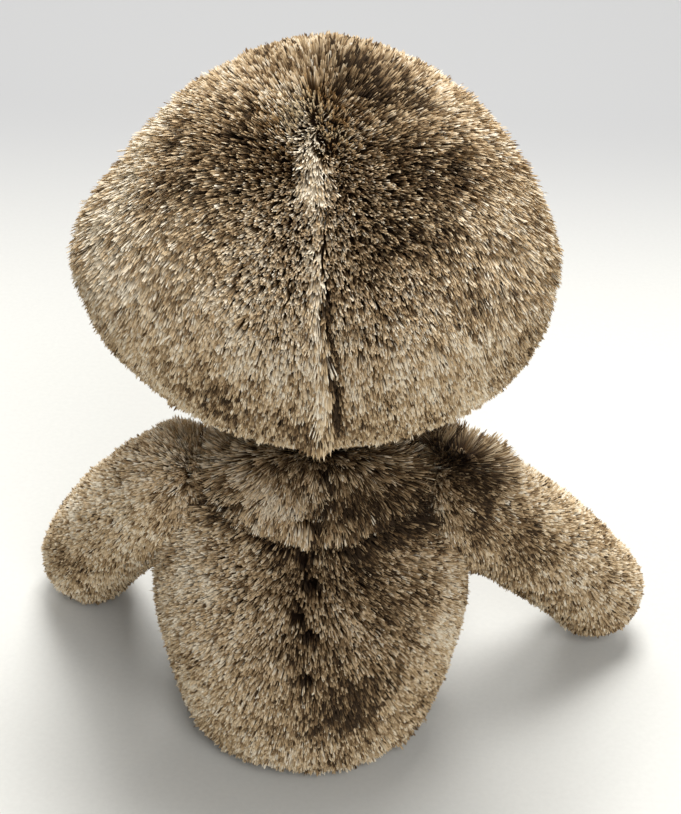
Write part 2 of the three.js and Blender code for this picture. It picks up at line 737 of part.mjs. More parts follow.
function addHead() {
  const half = gap / 2;
  const seamLevel = headCentre.y - hoodSeamForward;
  const inner = headForm(plushThickness, headInsideFineness);
  const shell = headForm(0).subtract(inner);
  const seamPoints = headSeamPoints();
  const backPart = shell.intersect(halfSpace('y', seamLevel + half, 1))
    .subtract(seamChannel(seamPoints));
  addSolid('head_left_panel', mainBody(backPart.intersect(halfSpace('x', half, 1))), 'plush');
  addSolid('head_right_panel', mainBody(backPart.intersect(halfSpace('x', -half, -1))), 'plush');
  addSolid('head_hood_panel', mainBody(shell.intersect(halfSpace('y', seamLevel - half, -1))
    .subtract(faceColumn(gap))), 'hood');

  const noseRoom = buttonRoom(noseSite, noseShankRadius, noseShankLength);
  let face = headForm(facePileStep).subtract(inner).intersect(faceColumn(0))
    .subtract(noseRoom)
    .subtract(threadAlong(mouthPoints(), mouthThreadRadius + gap));
  let filling = headForm(plushThickness + gap, headInsideFineness)
    .subtract(noseRoom);
  for (const { name, sign } of sides) {
    const site = eyeSite(sign);
    const eyeRoom = buttonRoom(site, eyeShankRadius, eyeShankLength);
    face = face.subtract(patchColumn(sign, gap)).subtract(eyeRoom);
    filling = filling.subtract(eyeRoom);
    const patch = headForm(patchPileStep).subtract(inner).intersect(patchColumn(sign, 0))
      .subtract(eyeRoom);
    addSolid(`${name}_eye_patch`, mainBody(patch), 'patch');
    addPiece(`${name}_eye`, button(eyeRadius, eyeDome, eyeShankRadius, eyeShankLength),
      'gloss', site);
    addPiece(`${name}_eye_washer`, washer(eyeShankRadius), 'washer', behindCloth(site));
  }
  addSolid('face_panel', mainBody(face), 'facePlush');
  const nose = button(noseHalfHeight, noseDome, noseShankRadius, noseShankLength);
  addPiece('nose', widened(nose), 'nose', noseSite);
  addPiece('nose_washer', washer(noseShankRadius), 'washer', behindCloth(noseSite));
  addSolid('mouth_stitch', threadAlong(mouthPoints(), mouthThreadRadius), 'thread');
  addSolid('head_filling', mainBody(filling), 'filling');
  addSolid('head_back_seam_thread', threadAlong(seamPoints, threadRadius), 'thread');
}

// The washer's place on a shank, behind the cloth
function behindCloth(site) {
  const depth = plushThickness + washerSeat + washerThickness;
  return site.clone().multiply(new THREE.Matrix4().makeTranslation(0, 0, -depth));
}

// The nose's dome is wider than it is high, but its shank stays round
function widened(geometry) {
  const places = geometry.getAttribute('position');
  for (let index = 0; index < places.count; index += 1) {
    const outward = Math.hypot(places.getX(index), places.getY(index));
    if (places.getZ(index) >= 0 && outward > noseShankRadius + gap / 2) {
      places.setX(index, (places.getX(index) * noseHalfWidth) / noseHalfHeight);
    }
  }
  return geometry;
}

// Arms and legs, each sewn on with a ring of stitches

function addLimbs() {
  for (const side of sides) {
    const arm = limbPieces(side.arm, armTurns(side.sign), armFineness);
    addSolid(`${side.name}_arm_back_panel`, arm.positive, 'plush');
    addSolid(`${side.name}_arm_front_panel`, arm.negative, 'plush');
    addSolid(`${side.name}_arm_filling`, arm.filling, 'filling');
    addSolid(`${side.name}_shoulder_seam_thread`, shoulderRing(side), 'thread');

    const leg = limbPieces(side.leg, legTurns, legFineness);
    const aboveFloor = halfSpace('z', 0, 1);
    addSolid(`${side.name}_leg_top_panel`, leg.positive, 'plush');
    addSolid(`${side.name}_leg_bottom_panel`, leg.negative.intersect(aboveFloor), 'plush');
    addSolid(`${side.name}_leg_filling`, leg.filling, 'filling');
    addSolid(`${side.name}_hip_seam_thread`, hipRing(side), 'thread');
  }
  addSolid('neck_seam_thread', neckRing(), 'thread');
}

addTorso();
addHead();
addLimbs();

export default sloth;
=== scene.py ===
import itertools
import math

import bpy
import numpy as np
from mathutils import Matrix, Vector


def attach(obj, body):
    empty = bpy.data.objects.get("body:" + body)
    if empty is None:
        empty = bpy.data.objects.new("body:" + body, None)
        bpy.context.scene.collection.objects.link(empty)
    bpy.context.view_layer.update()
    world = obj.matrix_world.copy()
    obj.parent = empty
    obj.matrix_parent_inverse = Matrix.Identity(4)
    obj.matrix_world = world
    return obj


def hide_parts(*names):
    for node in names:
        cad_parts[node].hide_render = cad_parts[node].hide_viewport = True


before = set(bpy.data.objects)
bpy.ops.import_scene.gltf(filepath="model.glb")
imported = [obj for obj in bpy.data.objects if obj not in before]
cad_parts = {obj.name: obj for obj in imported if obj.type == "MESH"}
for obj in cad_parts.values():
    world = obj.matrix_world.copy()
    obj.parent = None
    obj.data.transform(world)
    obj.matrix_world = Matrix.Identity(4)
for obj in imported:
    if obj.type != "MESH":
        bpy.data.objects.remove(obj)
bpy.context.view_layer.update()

# The view: a long lens behind the toy and above it, aimed at the middle of its height, with
# the picture turned a little clockwise.
picture_width = 681
picture_height = 814
focal_length = 2120            # in pixels of the picture
aim = Vector((0, 0, 0.075))
aim_pixel = (317, 410)
view_distance = 0.4
view_elevation = math.radians(33)
view_roll = math.radians(2)

lens = bpy.data.cameras.new("camera")
lens.sensor_fit = "HORIZONTAL"
lens.sensor_width = 36
lens.lens = focal_length / picture_width * lens.sensor_width
lens.shift_x = (picture_width / 2 - aim_pixel[0]) / picture_width
lens.shift_y = (aim_pixel[1] - picture_height / 2) / picture_width
camera = bpy.data.objects.new("camera", lens)
forward = Vector((0, -math.cos(view_elevation), -math.sin(view_elevation)))
level = Vector((-1, 0, 0))
upright = level.cross(forward)
camera_right = level * math.cos(view_roll) + upright * math.sin(view_roll)
camera_up = upright * math.cos(view_roll) - level * math.sin(view_roll)
camera_turn = Matrix((camera_right, camera_up, -forward)).transposed().to_4x4()
camera.matrix_world = Matrix.Translation(aim - forward * view_distance) @ camera_turn
bpy.context.scene.collection.objects.link(camera)
bpy.context.scene.camera = camera

# Torso: the pear-shaped body, sewn from two back panels, a belly panel and a small flat seat.
# Each panel is knitted cloth with a long pile, and sizes here are in millimetres.
mm = 0.001
whole_turn = 2 * math.pi
torso_levels = [0, 3.5, 14.5, 32.5, 46, 55, 61.5, 67]
torso_half_widths = [21.5, 25, 28, 31, 30, 27, 25.5, 20]
torso_backs = [19.5, 24, 27.5, 30, 28, 24.8, 23.4, 20]
torso_fronts = [19, 24, 27.5, 29.5, 27, 24, 22.5, 18]
torso_leans = [0, 0, 0, 0.5, 2, 3, 4, 5]
torso_height = 68.5
seat_share = 0.14              # of the way from the seat's middle to the neck
neck_share = 0.06
neck_rounding = 0.6
seat_seam = 0.85               # of the seat's share, where its seam lies
seam_gap = 0.01
crease_level = 60.8            # the fold under the roll of cloth across the upper back
crease_rise = 3.4              # towards the sides
crease_side = 0.6              # of the half width, where it stops rising
crease_depth = 1.2
crease_width = 1.6
roll_height = 1.8
roll_width = crease_width * 1.5
roll_above_crease = 3.2
collar_height = 4.2            # of the roll's top, which swells up behind the neck
collar_starts = -0.1           # of the way in to the neck
collar_ends = 0.5
torso_parting_levels = [0, 6, 17, 33, 48, 61, 68]
torso_parting_sides = [-2.8, -2.7, -0.9, 1.4, 2.2, 0.5, -2.6]
side_seam_y = -4
pile_root_depth = 4.5          # of the cloth below the tips of the pile
cloth_thickness = 0.8


def smooth_value(values, place):
    """The value at a place in a list, on a smooth curve through all of them."""
    values = np.asarray(values, float)
    index = np.clip(np.floor(place).astype(int), 0, len(values) - 2)
    t = place - index
    before, here, after, beyond = (
        values[np.clip(index + offset, 0, len(values) - 1)] for offset in (-1, 0, 1, 2)
    )
    start, end, rise = (after - before) / 2, (beyond - here) / 2, after - here
    return here + t * (start + t * (3 * rise - 2 * start - end + t * (start + end - 2 * rise)))


def bell(value, width):
    """1 where the value is 0, fading to nothing at about twice the width."""
    return np.exp(-((value / width) ** 2))


def step(value, low, high):
    """0 below the low value, 1 above the high one, and smooth between."""
    share = np.clip((value - low) / (high - low), 0, 1)
    return share * share * (3 - 2 * share)


def mottle(points, size, seed):
    """Smooth random values from -1 to 1 over space, in patches of about one size."""
    cells = 32
    lattice = np.random.default_rng(seed).uniform(-1, 1, (cells, cells, cells))
    place = points / size + cells
    low = np.floor(place).astype(int)
    part = place - low
    part = part * part * (3 - 2 * part)
    total = np.zeros(points.shape[:-1])
    for corner in itertools.product((0, 1), repeat=3):
        weight = np.prod(np.where(corner, part, 1 - part), axis=-1)
        x, y, z = np.moveaxis((low + corner) % cells, -1, 0)
        total += weight * lattice[x, y, z]
    return total


def above_crease(height, angle):
    """How high a place on the back is above the fold, which rises towards the sides."""
    return height - crease_level - crease_rise * np.minimum(np.abs(np.cos(angle)), crease_side)


def torso_point(t, angle, depth):
    """A place on the torso at a depth: t goes from the seat's middle, 0, to the neck, 1."""
    t, angle = np.broadcast_arrays(t, angle)
    last = len(torso_levels) - 1
    place = np.clip((t - seat_share) / (1 - seat_share - neck_share), 0, 1) * last
    outwards = np.clip((1 - t) / neck_share, 0, 1)
    inwards = 1 - outwards
    reach = np.clip(t / seat_share, 0, 1) * outwards ** neck_rounding
    shrink = 1 - depth / (torso_height / 2)
    back = np.sin(angle) > 0
    behind = np.clip(np.sin(angle), 0, 1) ** 0.5
    height = smooth_value(torso_levels, place) + (torso_height - torso_levels[-1]) * inwards
    height = height + collar_height * behind * step(inwards, collar_starts, collar_ends)
    depths = np.where(back, smooth_value(torso_backs, place), smooth_value(torso_fronts, place))
    fold = above_crease(height, angle)
    shape = behind * (roll_height * bell(fold - roll_above_crease, roll_width)
                      - crease_depth * bell(fold, crease_width))
    half_width = smooth_value(torso_half_widths, place) - depth + shape
    depths = depths - depth + shape
    return np.stack([
        half_width * reach * np.cos(angle),
        depths * reach * np.sin(angle) - smooth_value(torso_leans, place),
        torso_height / 2 + (height - torso_height / 2) * shrink,
    ], axis=-1)


def unit(vectors):
    return vectors / np.maximum(np.linalg.norm(vectors, axis=-1, keepdims=True), 1e-9)


def dot(first, second):
    return np.sum(first * second, axis=-1, keepdims=True)


def distance(points, place):
    return np.linalg.norm(points - np.array(place), axis=-1)


def outward_at(surface, t, angle, depth):
    """The direction straight out of a surface, from two small steps on it."""
    small = 2e-3
    along = surface(np.clip(t + small, 0, 1), angle, depth) - surface(
        np.clip(t - small, 0, 1), angle, depth)
    around = surface(t, angle + small, depth) - surface(t, angle - small, depth)
    return unit(np.cross(around, along))


row_spacing = 0.87             # of the spacing of the tufts in a row
tuft_astray = 0.42             # of a spacing, at most


def tuft_places(surface, spacing, seed):
    """Where tufts of pile grow: t and angle, in rows round the surface, each a little astray."""
    rings_measured, corners_measured = 241, 37
    random = np.random.default_rng(seed)
    t = np.linspace(0, 1, rings_measured)
    turns = np.linspace(0, whole_turn, corners_measured)
    rings = surface(t[:, None], turns[None, :], 0)
    along = np.linalg.norm(np.diff(rings, axis=0), axis=2).mean(1)
    travelled = np.concatenate([[0], np.cumsum(along)])
    around = np.linalg.norm(np.diff(rings, axis=1), axis=2).sum(1)
    rows = np.arange(spacing / 2, travelled[-1], spacing * row_spacing)
    counts = np.maximum(3, np.round(np.interp(rows, travelled, around) / spacing)).astype(int)
    order = np.arange(counts.sum()) - np.repeat(np.cumsum(counts) - counts, counts)
    start = np.repeat(random.random(len(rows)), counts)
    astray = random.uniform(-tuft_astray, tuft_astray, (2, counts.sum()))
    angle = whole_turn * (order + start + astray[0]) / np.repeat(counts, counts)
    way = np.repeat(rows, counts) + astray[1] * spacing
    return np.interp(way, travelled, t), angle


strand_map = "OFBake"


def mesh_piece(name, points, faces, material, uv=None, normals=None):
    """A mesh object from points in millimetres and faces of three or four corners."""
    mesh = bpy.data.meshes.new(name)
    sizes = np.concatenate([np.full(len(group), group.shape[1]) for group in faces])
    corners = np.concatenate([group.reshape(-1) for group in faces]).astype(np.int32)
    mesh.vertices.add(len(points))
    mesh.vertices.foreach_set("co", (points * mm).astype(np.float32).ravel())
    mesh.loops.add(len(corners))
    mesh.loops.foreach_set("vertex_index", corners)
    mesh.polygons.add(len(sizes))
    mesh.polygons.foreach_set("loop_start", (np.cumsum(sizes) - sizes).astype(np.int32))
    mesh.polygons.foreach_set("use_smooth", np.full(len(sizes), True))
    mesh.update(calc_edges=True)
    if uv is not None:
        layer = mesh.uv_layers.new(name=strand_map)
        layer.uv.foreach_set("vector", uv[corners].astype(np.float32).ravel())
    if normals is not None:
        mesh.normals_split_custom_set_from_vertices(normals.astype(np.float32))
    mesh.materials.append(material)
    piece = bpy.data.objects.new(name, mesh)
    bpy.context.scene.collection.objects.link(piece)
    return piece


tuft_strands = 4
tuft_reach = 0.3               # from the middle of a tuft to its outermost roots
tuft_gather = 0.55             # how much of that is left at the tips
tuft_stray = 0.2               # across the flow, in radians, as for the leans and sways
tuft_lean = 0.1
tuft_growth = 0.045            # how much the lengths differ
low_share = 0.12               # of the tufts, pressed lower than the rest
low_length = 0.8
strand_width = 0.23
strand_widths = (0.75, 1.25)   # the narrowest and the widest strand, beside that
strand_growth = 0.03
strand_lean = 0.05
strand_sway = 0.08
strand_turn = 0.9
strand_blunt = 0.94            # of the way up, where a strand is widest before its cut end
strand_tone = 0.09
pile_floor = 0.15              # the lowest that the pile hangs, just above what it sits on


def grow_pile(name, material, tufts, part, seed, width=strand_width, floor=None):
    """Tufts of strands, each a slim blade that bends over towards the flow of the pile.

    The tufts are given as lists of roots, outward directions, flows, tones, lengths and
    leans, and part says which of them grow on this piece."""
    random = np.random.default_rng(seed)
    root, outward, flow, tone, length, lean = (values[part] for values in tufts)
    flow = unit(flow - outward * dot(flow, outward))
    across = np.cross(outward, flow)
    stray = random.normal(0, tuft_stray, (len(root), 1))
    flow = flow * np.cos(stray) + across * np.sin(stray)
    lean = lean + random.normal(0, tuft_lean, len(root))
    length = length * random.normal(1, tuft_growth, len(root))
    length = length * np.where(random.random(len(root)) < low_share, low_length, 1)
    tuft = np.repeat(np.arange(len(root)), tuft_strands)
    count = len(tuft)
    root, outward, flow = root[tuft], outward[tuft], flow[tuft]
    across = np.cross(outward, flow)
    spin = random.uniform(0, whole_turn, (count, 1))
    offset = (flow * np.cos(spin) + across * np.sin(spin)) * (
        tuft_reach * np.sqrt(random.random((count, 1))))
    reach = length[tuft, None] * random.normal(1, strand_growth, (count, 1))
    tilt = lean[tuft, None] + random.normal(0, strand_lean, (count, 1))
    sway = random.normal(0, strand_sway, (count, 1))
    bent = flow * np.cos(sway) + across * np.sin(sway)
    low = root + offset
    high = (root + offset * tuft_gather
            + reach * (outward * np.cos(tilt) + bent * np.sin(tilt)))
    middle = low + (high - low) * strand_blunt
    if floor is not None:
        for place in (low, middle, high):
            place[:, 2] = np.maximum(place[:, 2], floor)
    turn = random.uniform(-strand_turn, strand_turn, (count, 1))
    direction = unit(high - low)
    side = unit(np.cross(direction, outward))
    side = side * np.cos(turn) + np.cross(direction, side) * np.sin(turn)
    facing = unit(np.cross(side, direction))
    facing = np.where(dot(facing, outward) < 0, -facing, facing)
    half = side * width / 2 * random.uniform(*strand_widths, (count, 1))
    points = np.stack([low, middle - half, middle + half, high], 1)
    # normals between the strand's own and the panel's, so that the pile takes the light softly
    shade = unit(facing * 0.75 + outward * 0.4)
    normals = np.stack([shade, shade - side * 0.3, shade + side * 0.3,
                        unit(shade + direction * 0.25)], 1)
    u = np.clip(tone[tuft] + random.normal(0, strand_tone, count), 0.03, 0.97)
    uv = np.stack([
        np.stack([u + shift, np.full(count, v)], -1)
        for shift, v in ((0, 0.02), (-0.02, strand_blunt), (0.02, strand_blunt), (0, 0.98))], 1)
    corners = 4 * np.arange(count)[:, None, None] + np.array([[0, 2, 1], [1, 2, 3]])
    return mesh_piece(name, points.reshape(-1, 3), [corners.reshape(-1, 3)], material,
                      uv.reshape(-1, 2), unit(normals).reshape(-1, 3))


class Wire:
    """A value or colour in a material. Arithmetic on it adds the material's Math nodes."""

    def __init__(self, tree, socket=None):
        self.tree = tree
        self.socket = socket

    def node(self, kind, settings=None, values=None, output=0):
        """A node of some kind, with its settings and the values or links of its sockets."""
        made = self.tree.nodes.new(kind)
        for name, setting in (settings or {}).items():
            if name == "stops":
                ramp = made.color_ramp.elements
                while len(ramp) < len(setting):
                    ramp.new(0.5)
                for stop, (position, shade) in zip(ramp, setting):
                    stop.position = position
                    stop.color = shade
            else:
                setattr(made, name, setting)
        for name, value in (values or {}).items():
            if isinstance(value, Wire):
                self.tree.links.new(value.socket, made.inputs[name])
            else:
                made.inputs[name].default_value = value
        return Wire(self.tree, made.outputs[output])

    def math(self, operation, *values):
        return self.node("ShaderNodeMath", {"operation": operation}, dict(enumerate(values)))

    def __add__(self, other):
        return self.math("ADD", self, other)

    def __mul__(self, other):
        return self.math("MULTIPLY", self, other)

    __radd__ = __add__
    __rmul__ = __mul__

    def mix(self, first, second):
        """The first colour where this value is 0, the second where it is 1."""
        return self.node("ShaderNodeMix", {"data_type": "RGBA"},
                         {0: self, 6: first, 7: second}, output=2)

    def feed(self, socket):
        self.tree.links.new(self.socket, socket)


def color(red, green, blue):
    """An opaque colour given as 8-bit display values, as linear light."""
    return (*(
        c / 255 / 12.92 if c / 255 <= 0.04045 else ((c / 255 + 0.055) / 1.055) ** 2.4
        for c in (red, green, blue)), 1)


def new_material(name, roughness, shine=0.5, coat=0.0):
    material = bpy.data.materials.new(name)
    material.use_nodes = True
    shader = material.node_tree.nodes["Principled BSDF"]
    shader.inputs["Roughness"].default_value = roughness
    shader.inputs["Specular IOR Level"].default_value = shine
    shader.inputs["Coat Weight"].default_value = coat
    return material, Wire(material.node_tree), shader


pile_roughness = 0.8
# the dark root of each strand is partly its own colour and partly painted shade deep in the pile
root_ends = 0.35               # of the way up a strand, where its dark root starts to fade
tip_starts = 0.95


def pile_material(name, tip_stops, root_tint_and_shade):
    """Strands dark at the root, partly their own colour and partly painted shade deep in the pile,
    and pale at the tip; each has its own tone across its map.
    """
    material, wires, shader = new_material(name, pile_roughness, shine=0.25)
    strand = wires.node("ShaderNodeUVMap", {"uv_map": strand_map})
    tone = strand.node("ShaderNodeSeparateXYZ", None, {0: strand})
    along = strand.node("ShaderNodeSeparateXYZ", None, {0: strand}, output=1)
    tip = tone.node("ShaderNodeValToRGB", {"stops": tip_stops}, {0: tone})
    root = tip.node("ShaderNodeMix", {"data_type": "RGBA", "blend_type": "MULTIPLY"},
                    {0: 1.0, 6: tip, 7: (*root_tint_and_shade, 1)}, output=2)
    lit = along.node("ShaderNodeMapRange", {"interpolation_type": "SMOOTHSTEP"},
                     {"Value": along, "From Min": root_ends, "From Max": tip_starts})
    lit.mix(root, tip).feed(shader.inputs["Base Color"])
    return material


def cloth_material(name, shade):
    """The knitted backing: fine rows of loops, seen only where the pile parts."""
    material, wires, shader = new_material(name, 0.95, shine=0.05)
    place = wires.node("ShaderNodeTexCoord", output=3)
    rows = place.node("ShaderNodeTexWave", {"wave_type": "BANDS", "bands_direction": "Z"},
                      {"Vector": place, "Scale": 300.0, "Distortion": 1.5}, output=1)
    patches = place.node("ShaderNodeTexNoise", None, {"Vector": place, "Scale": 180.0})
    tint = rows * 0.4 + patches * 0.6
    dark, pale = ((*(c * strength for c in shade[:3]), 1) for strength in (0.6, 1.4))
    tint.mix(dark, pale).feed(shader.inputs["Base Color"])
    place.node("ShaderNodeBump", None, {"Height": rows, "Strength": 0.4, "Distance": 0.0002}).feed(
        shader.inputs["Normal"])
    return material


brown_tips = [
    (0.0, color(48, 36, 24)),
    (0.2, color(118, 92, 62)),
    (0.4, color(180, 152, 113)),
    (0.6, color(224, 198, 158)),
    (0.8, color(245, 226, 193)),
    (1.0, color(254, 244, 223)),
]
brown_pile = pile_material("brown_pile", brown_tips, (0.2, 0.14, 0.08))
brown_cloth = cloth_material("brown_cloth", color(40, 29, 21))


def shell(name, outer, inner, material):
    """A closed sheet of cloth: a grid of points, and the same grid set in by the thickness."""
    across, along = outer.shape[:2]
    points = np.concatenate([outer.reshape(-1, 3), inner.reshape(-1, 3)])
    index = np.arange(across * along).reshape(across, along)
    top = np.stack([index[:-1, :-1], index[:-1, 1:], index[1:, 1:], index[1:, :-1]], -1)
    top = top.reshape(-1, 4)
    under = top[:, ::-1] + across * along
    edge = np.concatenate([index[:, 0], index[-1, 1:], index[-2::-1, -1], index[0, -2:0:-1]])
    after = np.roll(edge, -1)
    rim = np.stack([edge, after, after + across * along, edge + across * along], -1)
    return mesh_piece(name, points, [top, under, rim], material)


seam_tuck = 1.3                # how much deeper the cloth lies at its seams
seam_width = 1.2
usual_radius = 27              # of a panel, to turn an angle into a way along the cloth


def cloth_panel(name, surface, low, high, first, last):
    """A panel's cloth between two t values and two angles that may change with t."""
    rows, columns = 60, 48
    t = np.linspace(low, high, rows)[:, None]
    share = np.linspace(0, 1, columns)[None, :]
    start, end = (seam(t) if callable(seam) else seam for seam in (first, last))
    angle = start + (end - start) * share
    edge = np.minimum(share, 1 - share) * np.abs(end - start) * usual_radius
    tucked = pile_root_depth + seam_tuck * np.exp(-edge / seam_width)
    outer = surface(t, angle, tucked)
    inner = surface(t, angle, tucked + cloth_thickness)
    return shell(name, outer, inner, brown_cloth)


def seam_angles(surface, seam_y):
    """For each side, the angle at which a ring of the surface crosses the side seam."""
    def crossing(t, side):
        t = np.atleast_1d(np.squeeze(t))
        angles = np.linspace(-math.pi / 2, math.pi / 2, 241)
        if side < 0:
            angles = math.pi - angles
        ring = surface(t[:, None], angles[None, :], pile_root_depth)[..., 1]
        return angles[np.argmin(np.abs(ring - seam_y), axis=1)][:, None]

    return {side: (lambda t, side=side: crossing(t, side)) for side in (1, -1)}


def inside_ball(points, centre, radius):
    return distance(points, centre) < radius


# the places where arms, legs and head are sewn on, and how wide each is left without pile
shoulder_centres = {"left": (26, -3, 55), "right": (-26, -3, 55)}
hip_centres = {"left": (15.5, -18.5, 12), "right": (-15.5, -18.5, 12)}
neck_centre = np.array([0, -5, 68.5])
shoulder_hole = 7
hip_hole = 7.5
neck_hole = 7

# thin places along the back seam, where the dark cloth shows, each a centre and a radius
gap_edge = 0.7
torso_gaps = [
    ((-3.3, 17.4, 64.8), 2.0),
    ((0.9, 19.8, 61.9), 1.8),
    ((-0.9, 20.1, 59.1), 1.5),
    ((1.6, 22.0, 54.7), 1.5),
    ((-0.3, 23.9, 51.1), 1.4),
    ((2.6, 26.3, 45.0), 1.5),
    ((0.1, 27.6, 41.7), 1.3),
    ((-0.1, 29.5, 32.4), 1.2),
]
# round patches of paler and darker tone; the darker ones under the head and along the crease of
# the upper back are painted shade
torso_patches = [
    ((-11, 13, 65), 9, -0.5),      # painted shade of the head on the upper back, right
    ((-8, 8, 70), 7, -0.36),
    ((-20, 9, 62), 8, -0.24),
    ((9, 15, 65), 7, 0.26),        # paler roll at the left of the seam, painted light
    ((12, 5, 71), 6, -0.04),
    ((19, 9, 62), 4.5, -0.5),
    ((3, 20, 58), 9, -0.26),
    ((-25, 5, 58), 6, -0.28),
    ((20, 15, 54), 6, 0.2),
    ((25, 3, 58), 7, 0.24),        # left shoulder blade
    ((25, 13, 47), 8, 0.34),
    ((2, 24, 51), 6, -0.2),
    ((-10, 20, 54), 12, -0.20),
    ((-22, 18, 46), 9, -0.16),
    ((-14, 25, 36), 10, -0.12),
    ((-10, 27, 20), 6, -0.26),
    ((-7, 28, 27), 6, -0.28),
    ((-14, 27, 29), 6, -0.26),
    ((8, 28, 37), 6, -0.2),
    ((-6, 28, 38), 5, -0.22),
    ((4, 28, 16), 6, -0.16),
    ((-4, 28, 19), 6, -0.26),
    ((3, 29, 33), 4, 0.10),
    ((2, 27, 8), 5, 0.12),
    ((16, 22, 34), 14, 0.06),
    ((-24, 18, 38), 8, 0.20),
    ((-26, 8, 30), 9, 0.06),
    ((-16, 20, 44), 14, -0.04),
    ((6, 20, 59), 5, -0.28),
    ((17, 13, 61), 5, -0.2),
    ((-22, 9, 60), 5, -0.14),
    ((-5, 23, 50), 5, 0.14),
]


def with_patches(points, tone, patches):
    """The tone with round patches, each a centre, a radius and how much paler it is."""
    for centre, radius, change in patches:
        tone = tone + change * bell(distance(points, centre), radius)
    return tone


def natural_tone(points, seed):
    """The mottled brown of the pile: broad patches, small ones, and each tuft its own."""
    random = np.random.default_rng(seed)
    return (0.58 + 0.21 * mottle(points, 9, seed) + 0.2 * mottle(points, 2.5, seed + 1)
            + random.normal(0, 0.22, len(points)))


pile_spacing = 0.58
pile_length = 4.7
base_tuft = (2.5, 28, 6)       # where a few longer strands hang at the foot of the back


def natural_length(points, seed):
    return pile_length + 0.25 * mottle(points, 4, seed)


def natural_lean(points, usual, seed):
    return usual + 0.1 * mottle(points, 5, seed)


def turned_to(flow, direction, share):
    """The flow where the share is 0, and the direction where it is 1."""
    share = share[:, None]
    return flow * (1 - share) + direction * share


t, angle = tuft_places(torso_point, pile_spacing, 11)
tips = torso_point(t, angle, 0)
root = torso_point(t, angle, pile_root_depth)
outward = outward_at(torso_point, t, angle, pile_root_depth)
keep = ~inside_ball(root, neck_centre, neck_hole)
for centre in shoulder_centres.values():
    keep &= ~inside_ball(root, centre, shoulder_hole)
for centre in hip_centres.values():
    keep &= ~inside_ball(root, centre, hip_hole)
t, angle, tips, root, outward = (a[keep] for a in (t, angle, tips, root, outward))

# the pile hangs down and away from the seam, and outwards near the neck and the shoulders
from_parting = tips[:, 0] - np.interp(tips[:, 2], torso_parting_levels, torso_parting_sides)
behind = tips[:, 1] > side_seam_y
from_axis = unit(tips * [1, 1, 0] + [0, torso_leans[-1], 0])
apart = np.where(behind, 0.12 + 0.5 * step(np.abs(from_parting), 1, 16), 0.15)
upper = step(tips[:, 2], 54, 67)[:, None]
flow = from_axis * [0.45, 1, 0] * (0.2 + 1.4 * upper) + np.array([0, 0, -1.0])
flow[:, 0] += np.where(behind, np.sign(from_parting), np.sign(tips[:, 0])) * apart * (
    1 - 0.8 * upper[:, 0])
for centre in shoulder_centres.values():
    flow = turned_to(flow, np.array([np.sign(centre[0]) * 0.7, 0.3, -0.6]),
                     bell(distance(tips, centre), 15))
flow[:, 0] += 0.2 * mottle(tips, 6, 31)

# over the roll it lies back from the neck and is longer, and in the crease it is short
fold = above_crease(tips[:, 2], angle)
overhang = behind * bell(fold - 2.2, 1.8)
over = step(fold + 0.8 * mottle(tips, 3, 37), -1.0, 1.8) * step(tips[:, 1], -5, 7)
droop = 0.2 + 0.5 * bell(fold - 0.5, 2.5)[:, None]
backward = unit(from_axis * [0.5, 1, 0] - np.array([0, 0, 1.0]) * droop)
turned = np.arccos(np.clip(dot(outward, backward)[:, 0], -1, 1))
flow = turned_to(unit(flow), backward, over)
length = natural_length(tips, 32) - 0.9 * behind * bell(fold + 1.2, 1.5)
lean = natural_lean(tips, 0.24, 33)
lean = lean * (1 - over) + np.clip(turned, 0.2, 1.1) * over
length += 1.6 * over * step(turned, 0.3, 1.0)

# it is uneven at the foot of the back, and longer where the head and the arms are sewn on
length += 0.9 * behind * bell(tips[:, 2] - 4, 5) * mottle(tips, 1.7, 38)
length += 2.0 * bell(distance(tips, base_tuft), 3)
length += 2.4 * bell(distance(tips, neck_centre) - 8.5, 3) * (1 - over)
for centre in shoulder_centres.values():
    length += 1.8 * bell(distance(root, centre) - 10, 2.5)
tone = with_patches(tips, natural_tone(tips, 34), torso_patches)
tone -= 0.16 * behind * bell(from_parting, 1.4) * (0.5 + 0.5 * mottle(tips, 5, 35))
tone -= 0.3 * over * bell(from_parting - 0.3, 0.9)
# the roll's lower edge is paler and the crease under it darker, painted shade; over the roll the
# tone is lifted as painted light where the head shades it, and is more mottled
tone += 0.12 * overhang - 0.26 * behind * bell(fold + 1.4, 1.6)
tone += over * (0.1 + 0.25 * mottle(tips, 1.8, 36))

# no strand ends in the gaps along the seam, and those beside a gap are short and dark
bare = np.zeros(len(tips), bool)
thin = np.zeros(len(tips), bool)
level_flow = unit(flow - outward * dot(flow, outward))
ends = root + length[:, None] * (
    outward * np.cos(lean)[:, None] + level_flow * np.sin(lean)[:, None])
for centre, radius in torso_gaps:
    bare |= inside_ball(ends, centre, radius)
    thin |= inside_ball(ends, centre, radius + gap_edge)
length = np.where(thin, 0.8 * length, length)
tone = np.where(thin, tone - 0.35, tone)
seated = t < seat_share * seat_seam
tufts = (root, outward, flow, tone, length, lean)


def cover(piece, body, slot, *nodes):
    """The piece moves with a body and stands for the model's plain solids; the slot is not used.
    """
    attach(piece, body)
    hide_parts(*nodes)
    return piece


for number, (name, part) in enumerate({
    "torso_left_back": ~seated & behind & ~bare & (from_parting > 0),
    "torso_right_back": ~seated & behind & ~bare & (from_parting <= 0),
    "belly": ~seated & ~behind,
    "seat": seated,
}.items()):
    cover(grow_pile(name + "_pile", brown_pile, tufts, part, 40 + number, floor=pile_floor),
          "torso", "brown_plush", name + "_panel")

